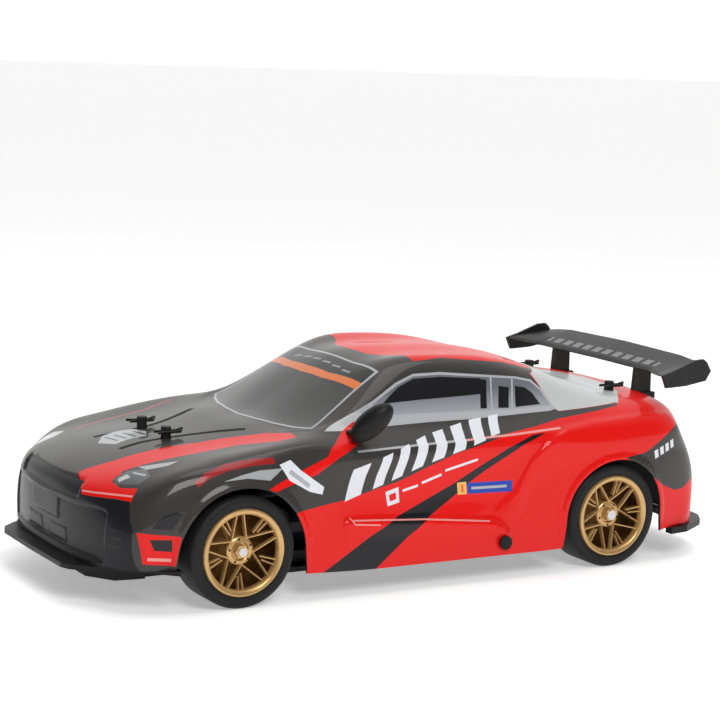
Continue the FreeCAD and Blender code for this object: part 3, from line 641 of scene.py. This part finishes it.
def paint_base(skin):
    """Large fields of charcoal and silver over the red."""
    side = [(240, 10), (240, 110), (60, 115), (22, 128), (2, 129), (-21, 130.6), (-49, 127.8),
            (-65, 126), (-91, 120), (-83, 118.8), (-87.3, 110.2), (-91.2, 99.4), (-93, 98),
            (-140, 100.1), (-138.5, 98.9), (-91, 94.5), (-70, 90.9), (-49.5, 88.2), (-11, 79.3),
            (26, 65.2), (61.5, 56.9), (77, 55.3), (96, 52.8), (96, 10)]
    paint_both(skin, "side", side, "charcoal")
    paint_list(skin, "top", [
        ([(240, 0), (240, 110), (22, 110), (22, 0)], "charcoal"),
        ([(22, 0), (22, 58), (-2, 60), (0, 36), (10, 20), (13, 0)], "charcoal"),
    ])
    pillar = [(-91.3, 99.2), (-93, 98.1), (-139, 100.2), (-150, 112), (-91, 120.4), (-84, 118.6),
              (-87.5, 110)]
    paint_both(skin, "side", pillar, "pale", LOWEST_GLASS)
    deck = [(-93, 0), (-91, 52), (-98, 66), (-141, 75.2), (-150, 63), (-160, 48), (-168, 24), (-170, 0)]
    paint_both(skin, "top", deck, "pale")
    rear_glass = [(-99, 0), (-98, 42), (-143, 52), (-152, 30), (-154, 0)]
    paint_both(skin, "top", rear_glass, "rear_glass")


def paint_hood(skin):
    """Broad red band on the left, thin one on the right, two scoops and a pale patch."""
    band = [(204, 30), (200.6, 29.2), (182, 34.4), (149, 35), (118, 41), (94.4, 51), (84, 62), (86, 73),
            (96.7, 72.9), (116, 60.5), (148, 56.7), (168.7, 54), (184.7, 52.5), (190, 54.5), (193, 57.5),
            (191, 66), (185, 74), (190, 76.5), (207, 44)]
    skin.fill(band, (0, 1), facing_up, "red")
    far_line = [(168, -57), (148, -59.5), (118, -64), (97, -73)]
    skin.fill(widened(far_line, 2.2), (0, 1), facing_up, "dark_red")
    paint_both(skin, "top", widened(HOOD_VENT, 4.0), "deep_black")
    skin.fill([(176, -3), (170, 8), (158, 4), (149, 5), (144, -6), (148, -18), (158, -20),
               (168, -16)], (0, 1), facing_up, "pale_print")
    for x in (168, 162, 156, 150):
        skin.fill(widened([(x, -12), (x - 2, 2)], 1.4), (0, 1), facing_up, "charcoal")


def paint_nose(skin):
    """Black bumper with the central openings, blocks and brake slots."""
    front = [(0, 20), (86, 20), (83.5, 30), (83, 48), (76, 62.6), (44.6, 61.6), (43.4, 64.2), (31, 70.6),
             (17, 69.4), (0, 69)]
    paint_both(skin, "nose", front, "front_black")
    patch = [(30.8, 71.5), (43.4, 64.1), (44.8, 61.6), (76.1, 63.4), (73.3, 69.2), (60, 67.4),
             (56, 69.5), (54, 76), (34, 78)]
    paint_left(skin, "nose", patch, "red")
    # Pale red line along the patch: a painted highlight.
    paint_left(skin, "nose", widened([(44, 63.6), (60, 64.6), (75, 65.2)], 1.0), "pale_red")
    lens = [(192.5, 60.5), (191, 56), (182.3, 54.4), (174, 60), (175.8, 70.5), (183, 71.6)]
    paint_both(skin, "top", lens, "lens")
    paint_left(skin, "top", [(190.5, 60.5), (189.5, 57.5), (184, 57.5), (184, 62)], "pale")
    paint_left(skin, "top", widened([(181, 58.5), (177, 67)], 1.6), "pale_print")
    paint_left(skin, "top", [(176, 54), (155.9, 64), (163, 66.4), (174, 61.5)], "pale_print")
    paint_list(skin, "nose", [
        ([(0, 69.5), (30, 70.2), (42, 63.4), (42, 59), (0, 57)], "panel"),
        ([(5, 61.5), (5, 67.6), (21, 68.4), (21, 62.6)], "gloss_black"),
        (circle_outline(31.5, 63.2, 3.1, 16), "gloss_black"),
        (circle_outline(31.5, 63.4, 1.9, 16), "lamp"),
        (widened([(0, 56.2), (22, 57.2), (42, 58.6)], 1.1), "gloss_black"),
        ([(0, 41), (0, 54.5), (20, 55), (19, 41.5)], "panel"),
        ([(5, 29), (5, 39.5), (29, 40.5), (29, 30)], "panel"),
    ])
    for z in (31.5, 35.5):
        paint_both(skin, "nose", widened([(31, z), (62, z + 1)], 1.0), "panel")
    # Dark lines round the raised blocks: painted shade in the creases.
    for edge in ([(20.5, 41), (21.5, 55)], [(0, 40.6), (30, 41.4), (30, 29)], [(4.2, 29), (4.2, 40)]):
        paint_both(skin, "nose", widened(edge, 1.2), "gloss_black")
    for z in (46.5, 42.0, 37.5):
        paint_both(skin, "nose", widened([(70, z), (78, z)], 1.3), "gloss_black")
    for step in range(3):
        y = 36.5 + 3.2 * step
        mark = [(y, 37 - step), (y + 1.9, 36.7 - step), (y + 1.1, 32.5 - step), (y - 0.8, 32.8 - step)]
        paint_both(skin, "nose", mark, "white")
    paint_list(skin, "side", [
        ([(190, 47.1), (166.3, 44.4), (168.8, 27.6), (186.3, 29.2)], "red"),
        ([(183.6, 43.2), (171, 42.6), (170.7, 35.8), (180.6, 37)], "gloss_black"),
        # pale red stroke: a painted highlight at the foot of the corner
        (widened([(184, 32), (171, 31)], 1.8), "pale_red"),
        ([(182.3, 49.4), (179.5, 53), (175.6, 56.2), (169, 58.3), (165, 56.7), (171.4, 48.2)],
         "gloss_black"),
    ])


def paint_windows(skin):
    """Windscreen with banner; side windows with pale surrounds that are painted highlights."""
    screen = [(87.6, 0), (86, 20), (82.6, 37), (77, 53), (71, 63.6), (57.4, 59.6), (40.9, 56),
              (20.6, 52.6), (23.4, 26), (24.4, 0)]
    # The thin silver rim left round the glass is a painted highlight on the windscreen's edge.
    paint_both(skin, "top", screen, "silver")
    glass = [(86.2, 0), (84.6, 20), (81.2, 36.5), (75.6, 52.2), (70.6, 61.8), (57.4, 58.1), (41, 54.5),
             (22.4, 51), (25, 25), (26, 0)]
    paint_both(skin, "top", glass, "glass")
    paint_both(skin, "top", [(38.5, 0), (37.6, 24), (31.8, 53), (22.4, 51), (25, 25), (26, 0)], "banner")
    paint_both(skin, "top", [(45, 0), (43.6, 24), (37.5, 54.5), (32.4, 53.6), (38.6, 24), (39.6, 0)],
               "orange")
    for y in (-30, -18, -6, 6, 18, 30):
        skin.fill([(33.5, y), (32.6, y + 8), (31, y + 8), (31.9, y)], (0, 1), facing_up, "grey")
    outer = [(68, 94.2), (48, 102.4), (32.1, 109.2), (14.6, 118.2), (1.4, 122.7), (-16.6, 123.1),
             (-44.3, 120.6), (-70.4, 118.1), (-81.5, 115.8), (-87.3, 110.2), (-91.2, 99.2), (-87.3, 98.4),
             (-60, 97.2), (-36.5, 96.4), (-1, 96), (27.6, 95.1)]
    band = [(60, 94.6), (52, 99), (20, 100), (-14, 99.9), (-60, 99.5), (-87, 100.2), (-88.6, 99),
            (-60, 98.1), (-36.5, 97.3), (-1, 96.9), (27.6, 96.1)]
    inner = [(40, 100.8), (32, 107.6), (14.2, 116.8), (2.0, 121.2), (-16, 121.7), (-44, 119.3),
             (-70, 116.9), (-80.5, 114.6), (-86, 109.6), (-89.4, 101.2), (-60, 100.3), (-14, 100.8),
             (20, 100.9)]
    dark = [(27, 107), (13.9, 115.6), (2.2, 120), (-16, 120.5), (-44, 118.4), (-41.8, 109.6),
            (1.5, 108.2)]
    # The silver frame, the pale band at its foot and the silver lines by the pillars are painted
    # highlights on moulded ridges.
    paint_list(skin, "side", [
        (outer, "silver"),
        (band, "pale_print"),
        # pale grey lower side glass: a painted reflection on the dark glass
        (inner, "window_grey"),
        (dark, "gloss_black"),
        ([(-43.6, 118), (-48, 117.4), (-44, 101.5), (-39.4, 101.5)], "gloss_black"),
        ([(-56, 113.5), (-63.4, 112.4), (-59.4, 101), (-52, 101.3)], "gloss_black"),
        (widened([(-51.6, 118.6), (-47.4, 100.4)], 1.1), "silver"),
        (widened([(-67.2, 116.9), (-61.8, 100.4)], 1.2), "silver"),
        ([(-68, 112.9), (-75, 111.7), (-79.4, 108.5), (-82.6, 102), (-64.4, 101.2)], "gloss_black"),
        ([(68, 94.2), (48.2, 102.4), (43, 103.6), (40, 100), (54, 94)], "pale"),
    ], LOWEST_GLASS)


def paint_fender(skin):
    """Small accents over and behind the front wheel."""
    accent = [(157, 72.5), (150, 77), (138, 80.6), (122, 82.6), (109, 83)]
    scoop = [(141.3, 73.6), (130, 76.6), (119.3, 78.4), (104, 78.6), (113.2, 72.6), (127, 74.6)]
    slash = [(114.7, 68), (92.4, 75.8), (74.5, 82.6), (71, 87), (57, 94.2), (47.3, 98.7), (47.1, 89.5),
             (55, 87), (66.7, 82), (81.8, 73), (110, 66)]
    wedge = [(106.2, 80.5), (98.8, 82.6), (92.4, 76.4), (77, 65.6), (78.2, 61.4), (86.7, 63.8),
             (100.5, 71.5)]
    paint_list(skin, "side", [
        (widened(accent, 3.2), "dark_red"),
        (scoop, "grey_print"),
        (slash, "red"),
        (wedge, "white"),
        (widened([(100, 76.5), (87, 67)], 2.6), "pale_print"),
    ])


# Front foot and width of each white shard on the door.
SHARDS = [(63, 13), (44, 9), (31.5, 9), (18.5, 9.5), (5, 10), (-9, 10.5), (-23.5, 11), (-38, 9)]


def white_shards():
    """Outlines of a row of slanted white shards climbing along the door."""
    foot = [(66, 55), (38.9, 63.1), (25.3, 67.8), (12.2, 72.8), (-5, 78), (-16.4, 81.2), (-37, 87),
            (-52, 90)]
    head = [(66, 72), (47.5, 77.7), (38.8, 80.6), (24.2, 85.2), (5.2, 90), (-12, 92.8), (-30, 96.2),
            (-52, 98.3)]
    shards = []
    for start, wide in SHARDS:
        end = start - wide
        corners = ((foot, start), (head, start - 5), (head, end - 3), (foot, end + 2))
        shards.append([(x, float(line_height(path, x))) for path, x in corners])
    return shards


def paint_door(skin):
    """Diagonal black band, painted highlights along sill, belt and moulding, white shards, small dashes
    and the blue tag.
    """
    stripe = [(80.2, 15), (30.3, 43.4), (-12.6, 61.4), (-48.5, 80.6), (-65.5, 87), (-75.5, 88),
              (-59.4, 82.1), (-28.1, 64.4), (-12.7, 54.2), (9.3, 40.7), (43.5, 15)]
    # The pale lines along the sill, the belt crease and the moulding are painted highlights.
    paint_list(skin, "side", [
        (stripe, "gloss_black"),
        (widened([(58, 44.8), (9, 41.7), (-36, 37)], 0.9), "pale_red"),
        (widened([(55, 84.4), (9, 85.7), (-20, 86.4)], 0.9), "silver"),
        (widened([(-20, 86.4), (-52, 87.6), (-87, 89.8)], 0.8), "pale_red"),
        (widened([(60, 46.5), (57, 42.5), (40, 40.8)], 0.8), "pale_red"),
    ])
    paint_list(skin, "side", [(shard, "white") for shard in white_shards()])
    paint_list(skin, "side", [
        ([(35.3, 59.3), (26.6, 61.7), (26, 52.7), (33.9, 50.8)], "white"),
        ([(33, 57.4), (28.4, 58.7), (28, 54.6), (32.4, 53.5)], "red"),
        (widened([(23.7, 59.2), (13.5, 61.6)], 1.5), "white"),
        (widened([(10.8, 62.9), (-2.6, 67)], 1.5), "white"),
        (widened([(-5, 69.2), (-27, 74.6)], 1.5), "white"),
        ([(-21, 60.6), (-52.8, 60.1), (-52.9, 53.3), (-21.4, 54)], "blue"),
        (widened([(-24, 57.2), (-49, 56.8)], 1.6), "pale_print"),
        ([(-13.8, 61.2), (-20.2, 61.4), (-20.9, 53.9), (-14.5, 54)], "yellow"),
        ([(-16.3, 60), (-18.4, 60), (-18.8, 55.2), (-16.8, 55.2)], "orange"),
    ])


def paint_tail(skin):
    """Charcoal rear corner, lamp strips and the dark lower panel."""
    corner = [(-182, 86.2), (-191, 88), (-225, 88), (-225, 48.5), (-195.6, 48.7), (-187, 44.6),
              (-178.8, 44.2), (-167.6, 48.6), (-154, 57), (-133.4, 69.5), (-149.8, 71.2), (-167.5, 80)]
    paint_both(skin, "side", corner, "charcoal")
    for step in range(4):
        x = -158.5 - 5 * step
        z = 66.5 + 1.6 * step
        block = [(x, z), (x - 3.2, z + 1), (x - 2.4, z + 6), (x + 0.8, z + 5)]
        paint_both(skin, "side", block, "white")
    paint_list(skin, "tail", [
        ([(0, 46), (50, 46), (50, 88), (0, 88)], "charcoal"),
        ([(30, 64), (34, 73), (74, 72), (79, 66), (72, 62.5)], "gloss_black"),
        ([(35, 65.6), (37.5, 71), (70, 70), (73, 67)], "lamp_red"),
        ([(0, 21), (56, 21), (50, 34), (0, 36)], "front_black"),
    ])
    for y in (8, 20, 32, 44):
        paint_both(skin, "tail", widened([(y, 22), (y - 1, 34)], 1.2), "gloss_black")
    paint_both(skin, "tail", [(0, 40), (24, 40), (24, 52), (0, 52)], "panel")


def stands_for_shell(obj):
    """Let a mesh ride the shell and take the place of its CAD piece."""
    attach(obj, "shell")
    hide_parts("body_shell")


def painted_shell():
    """Outer face of the shell with all its print."""
    skin = shell_skin()
    for paint in (paint_base, paint_hood, paint_nose, paint_windows, paint_fender, paint_door,
                  paint_tail):
        paint(skin)
    skin.add_rim(SHELL_WALL, "front_black")
    stands_for_shell(skin.build("shell_skin", PAINTS))


def shell_lining(rows=150, columns=120):
    """Dull inner face of the shell, seen through the wheel openings and from below."""
    points = shell_grid(rows, columns)
    normals = grid_normals(points)
    points = points - normals * SHELL_WALL
    faces = [face[::-1] for face in grid_faces(rows, columns)]
    skin = Skin(points.reshape(-1, 3), -normals.reshape(-1, 3), faces, "front_black")
    open_shell(skin, facing_down)
    stands_for_shell(skin.build("shell_lining", PAINTS))


painted_shell()
shell_lining()


# ---------- wheels
def plain_mesh(name, points, faces, material, body, slot, smooth=True):
    """Object from points in millimetres; it rides a body."""
    mesh = bpy.data.meshes.new(name)
    mesh.from_pydata([[c * MM for c in p] for p in points], [], faces)
    mesh.materials.append(material)
    mesh.polygons.foreach_set("use_smooth", [smooth] * len(faces))
    mesh.validate()
    obj = placed(name, mesh)
    if smooth:
        mesh.set_sharp_from_angle(angle=math.radians(SHARP_ANGLE))
    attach(obj, body)
    return obj


def lathe(profile, steps=96):
    """Points and faces of a profile (radius, distance outwards) turned round the wheel axis."""
    points, faces = [], []
    count = len(profile)
    for k in range(steps):
        a = 2 * math.pi * k / steps
        points += [(r * math.cos(a), w, r * math.sin(a)) for r, w in profile]
    for k in range(steps):
        here, there = k * count, ((k + 1) % steps) * count
        faces += [[here + j, here + j + 1, there + j + 1, there + j] for j in range(count - 1)]
    return points, faces


def bar(start, end, width, depth):
    """Straight bar with a flat top and bevelled sides between two points of the wheel face.

    Points are (radius, angle in degrees, distance outwards)."""
    ends = []
    for radius, angle, out in (start, end):
        a = math.radians(angle)
        ends.append(Vector((-radius * math.cos(a), out, radius * math.sin(a))))
    along = (ends[1] - ends[0]).normalized()
    across = along.cross(Vector((0, 1, 0))).normalized()
    drop = along.cross(across).normalized()
    if drop.y > 0:
        drop = -drop
    section = [(-width / 2, depth), (-width / 2, 0.5), (-width / 4, 0), (width / 4, 0), (width / 2, 0.5),
               (width / 2, depth)]
    points = [tuple(end + across * u + drop * v) for end in ends for u, v in section]
    n = len(section)
    faces = [[j, (j + 1) % n, n + (j + 1) % n, n + j] for j in range(n)]
    faces += [list(range(n))[::-1], list(range(n, 2 * n))]
    return points, faces


def joined(parts):
    """One list of points and faces from several."""
    points, faces = [], []
    for some_points, some_faces in parts:
        base = len(points)
        points += some_points
        faces += [[base + i for i in face] for face in some_faces]
    return points, faces


def on_wheel(points, faces, centre, side):
    """Move wheel points into place; the right wheels are mirrored."""
    moved = [(centre[0] + p[0], side * (centre[1] + p[1]), centre[2] + p[2]) for p in points]
    if side < 0:
        faces = [face[::-1] for face in faces]
    return moved, faces


FRONT_TURN = 96         # degrees to the first spoke pair, 90 on top
REAR_TURN = 50
LUG_RADIUS = 6.9        # from the wheel axis to the lug holes
SHARP_ANGLE = 35        # degrees; edges sharper than this are not smoothed

# Wheel sections as (radius, distance outwards).
TYRE_PROFILE = [(25.2, 11), (25.4, 12.6), (26.4, 13.1), (29, 13.3), (31, 12.9), (32, 12),
                (32.5, 10.6), (32.5, -10.6), (32, -12), (31, -12.9), (29, -13.3),
                (26.4, -13.1), (25.2, -12)]
RING_PROFILE = [(25.3, 11.5), (25.3, 13), (24.9, 13.9), (24.2, 14.2), (22.8, 13.9), (21.9, 13),
                (21.5, 11.8), (21.5, 9.6), (22.4, 8.6)]
BARREL_PROFILE = [(22.6, 9), (23.2, 7), (23.2, -12.5), (24.9, -12.5), (25, 11.5)]
DISH_PROFILE = [(23.4, -1.5), (19, -0.6), (12, 2.2), (7.6, 5.4), (5.2, 6.6), (5.1, 6)]
HUB_PROFILE = [(8.4, 5.5), (8.2, 7.6), (7.4, 8.3), (5.9, 8.5), (5.2, 8.1), (4.9, 7), (2.4, 7)]


def spoke_group(turn):
    """Two long thin spokes that close in outwards and two short forks from one of them."""
    return [bar((7.2, turn + 47, 8.2), (21.9, turn + 5.5, 12.2), 1.0, 3.0),
            bar((7.2, turn - 40, 8.2), (21.9, turn - 5.5, 12.2), 1.0, 3.0),
            bar((12.3, turn + 30.5, 9.6), (21.9, turn + 32, 12.2), 0.95, 2.6),
            bar((13.8, turn + 23, 10.0), (21.9, turn + 24, 12.2), 0.85, 2.4)]


def lug_holes(turn):
    """Flat dark disc at the root of each spoke pair, painted shade standing in for a lug hole."""
    points, faces = lathe([(0, 8.62), (0.75, 8.62)], 14)
    a = math.radians(turn + 3)
    moved = [(p[0] - LUG_RADIUS * math.cos(a), p[1], p[2] + LUG_RADIUS * math.sin(a)) for p in points]
    return moved, faces


def wheel(name, body, centre, side, turn):
    """Tyre, gold rim with thin spokes, the rim's inside darkened with painted shade, lug holes as dark
    discs of painted shade.
    """
    rim_node = "rim_" + name
    tyre_node = "tyre_" + name
    turns = [turn + 72 * k for k in range(5)]
    gold = joined([lathe(RING_PROFILE), lathe(HUB_PROFILE, 48)]
                  + [piece for t in turns for piece in spoke_group(t)])
    obj = plain_mesh(name + "_rim_face", *on_wheel(*gold, centre, side), WHEEL_GOLD, body,
                     "gold_plastic")
    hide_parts(rim_node)
    inside = joined([lathe(BARREL_PROFILE), lathe(DISH_PROFILE)])
    obj = plain_mesh(name + "_rim_inside", *on_wheel(*inside, centre, side), WHEEL_SHADE, body,
                     "gold_plastic")
    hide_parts(rim_node)
    holes = joined([lug_holes(t) for t in turns])
    plain_mesh(name + "_lug_holes", *on_wheel(*holes, centre, side), BLACK, body, "gold_plastic",
               smooth=False)
    tyre = lathe(TYRE_PROFILE, 128)
    obj = plain_mesh(name + "_tyre_skin", *on_wheel(*tyre, centre, side), TYRE_BLACK, body,
                     "tyre_rubber")
    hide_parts(tyre_node)


WHEEL_GOLD = gold_metal()
WHEEL_SHADE = gold_in_painted_shade()
TYRE_BLACK = tyre_rubber()
# Dark of the lug-hole discs, which are painted shade.
BLACK = PAINTS["gloss_black"]


def wheels():
    """Four wheels; the front pair spins on its own, the rear pair with the axle."""
    for side, word in ((1, "left"), (-1, "right")):
        front = (AXLE_X, FRONT_TRACK, AXLE_Z)
        wheel("front_" + word, "front_wheel_" + word, front, side, FRONT_TURN)
        wheel("rear_" + word, "rear_axle", (-AXLE_X, REAR_TRACK, AXLE_Z), side, REAR_TURN)


wheels()


# ---------- finishes of the other pieces
DASH_PITCH = 0.0055     # metres, half a period of the printed dashes


def calculated(tree, operation, *values):
    """Result of a math node; each value is a number or the output of another node."""
    node = tree.nodes.new("ShaderNodeMath")
    node.operation = operation
    for place, value in zip(node.inputs, values):
        if isinstance(value, float):
            place.default_value = value
        else:
            tree.links.new(value, place)
    return node.outputs[0]


def wing_print(obj):
    """Wing black with a row of worn pale dashes along the middle of the blade."""
    mat = matt_black("wing_print", 0.020, 0.38)
    tree = mat.node_tree
    shader = tree.nodes["Principled BSDF"]
    base = shader.inputs["Base Color"].links[0].from_socket
    corners = np.array([tuple(c) for c in obj.bound_box])
    middle_x, middle_y, _ = ((corners.min(axis=0) + corners.max(axis=0)) / 2).tolist()
    axes = object_axes(tree)
    x, y = axes["X"], axes["Y"]
    on_row = calculated(tree, "COMPARE", x, middle_x + 0.001, 0.0028)
    off_ends = calculated(tree, "COMPARE", y, middle_y, 0.060)
    repeat = calculated(tree, "PINGPONG", y, DASH_PITCH)
    on_dash = calculated(tree, "COMPARE", repeat, DASH_PITCH, 0.64 * DASH_PITCH)
    row = calculated(tree, "MULTIPLY", on_row, off_ends)
    mask = calculated(tree, "MULTIPLY", row, on_dash)
    mix = tree.nodes.new("ShaderNodeMix")
    mix.data_type = "RGBA"
    plain, printed = [place for place in mix.inputs if place.type == "RGBA"]
    printed.default_value = (0.23, 0.23, 0.23, 1.0)
    tree.links.new(mask, mix.inputs[0])
    tree.links.new(base, plain)
    mixed = [place for place in mix.outputs if place.type == "RGBA"][0]
    tree.links.new(mixed, shader.inputs["Base Color"])
    return mat


def finish_nodes():
    """Give every CAD piece that stays visible a worked material."""
    dark_wing = matt_black("wing_black", 0.020, 0.38)
    satin = matt_black("satin_black", 0.010, 0.42)
    deck = matt_black("deck_black", 0.020, 0.55)
    steel = gloss("bright_steel", (0.55, 0.55, 0.54), 0.25, metal=0.9)
    brass = gloss("brass_gear", (0.55, 0.40, 0.14), 0.3, metal=0.85)
    finishes = {
        "wing_blade": wing_print(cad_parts["wing_blade"]),
        "wing_stand_left": dark_wing, "wing_stand_right": dark_wing,
        "front_splitter": satin, "rear_lip": satin, "skirt_buttons": satin, "body_clips": satin,
        "door_mirror_left": satin,
        "front_nut_left": WHEEL_GOLD, "front_nut_right": WHEEL_GOLD, "rear_nuts": WHEEL_GOLD,
        "foam_bumper": matt_black("foam_black", 0.030, 0.9),
        "battery_pack": gloss("pack_blue", (0.01, 0.015, 0.03), 0.5),
        "speed_control": gloss("controller_blue", (0.03, 0.10, 0.24), 0.4),
        "motor_can": steel, "pinion_gear": brass,
    }
    by_slot = {"chassis_plastic": deck, "black_plastic": satin, "steel": steel, "spring_steel": steel,
               "motor_steel": steel, "brass": brass}
    for name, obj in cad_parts.items():
        slot = obj.data.materials[0].name.split(".")[0]
        obj.data.materials[0] = finishes.get(name) or by_slot.get(slot, deck)


finish_nodes()


# ---------- camera, floor and light
def floor(reach=20):
    """Wide pale floor, a little bright of its own; its reach is in metres."""
    corners = [(-reach, -reach, 0), (reach, -reach, 0), (reach, reach, 0), (-reach, reach, 0)]
    mesh = bpy.data.meshes.new("floor")
    mesh.from_pydata(corners, [], [(0, 1, 2, 3)])
    mat, _, shader = principled("floor_white", (0.93, 0.93, 0.93), 0.7)
    shader.inputs["Emission Color"].default_value = (1.0, 1.0, 1.0, 1.0)
    shader.inputs["Emission Strength"].default_value = 0.38
    mesh.materials.append(mat)
    obj = placed("floor", mesh)


def camera():
    """Long lens at the left front of the car, a little above it."""
    data = bpy.data.cameras.new("camera")
    data.lens = 105.4
    data.sensor_width = 36.0
    data.clip_start = 0.05
    obj = placed("camera", data)
    obj.location = (0.6552, 1.1157, 0.3164)
    yaw, pitch, roll = math.radians(-120.31), math.radians(-8.555), math.radians(2.141)
    forward = Vector((math.cos(pitch) * math.cos(yaw), math.cos(pitch) * math.sin(yaw), math.sin(pitch)))
    right = forward.cross(Vector((0, 0, 1))).normalized()
    up = right.cross(forward)
    right, up = (right * math.cos(roll) + up * math.sin(roll),
                 up * math.cos(roll) - right * math.sin(roll))
    turn = Matrix((right, up, -forward)).transposed()
    obj.rotation_euler = turn.to_euler()
    bpy.context.scene.camera = obj


def area_light(name, location, target, size, power):
    """Square soft light pointed at a target."""
    data = bpy.data.lights.new(name, "AREA")
    data.size = size
    data.energy = power
    obj = placed(name, data)
    obj.location = location
    direction = Vector(target) - Vector(location)
    obj.rotation_euler = direction.to_track_quat("-Z", "Y").to_euler()


def studio_world():
    """White surroundings, darker on the side that faces the car's left flank and nose."""
    world = bpy.data.worlds.new("world")
    world.use_nodes = True
    tree = world.node_tree
    background = tree.nodes["Background"]
    coords = tree.nodes.new("ShaderNodeTexCoord")
    facing = tree.nodes.new("ShaderNodeVectorMath")
    facing.operation = "DOT_PRODUCT"
    facing.inputs[1].default_value = (-0.45, -0.78, 0.55)
    tree.links.new(coords.outputs["Generated"], facing.inputs[0])
    shades = two_tone(tree, facing.outputs["Value"], background.inputs["Color"], (0.05, 0.05, 0.05),
                      (1, 1, 1))
    shades.color_ramp.elements[0].position = 0.2
    shades.color_ramp.elements[1].position = 0.8
    background.inputs["Strength"].default_value = 1.15
    bpy.context.scene.world = world


def lights():
    """Key light over the left flank and a weak one overhead."""
    area_light("key", (0.3, 1.4, 1.2), (0, 0, 0.05), 0.7, 15)
    area_light("top", (-0.1, 0.1, 1.5), (0, 0, 0), 0.9, 6)


floor()
camera()
studio_world()
lights()
bpy.context.scene.view_settings.view_transform = "Standard"
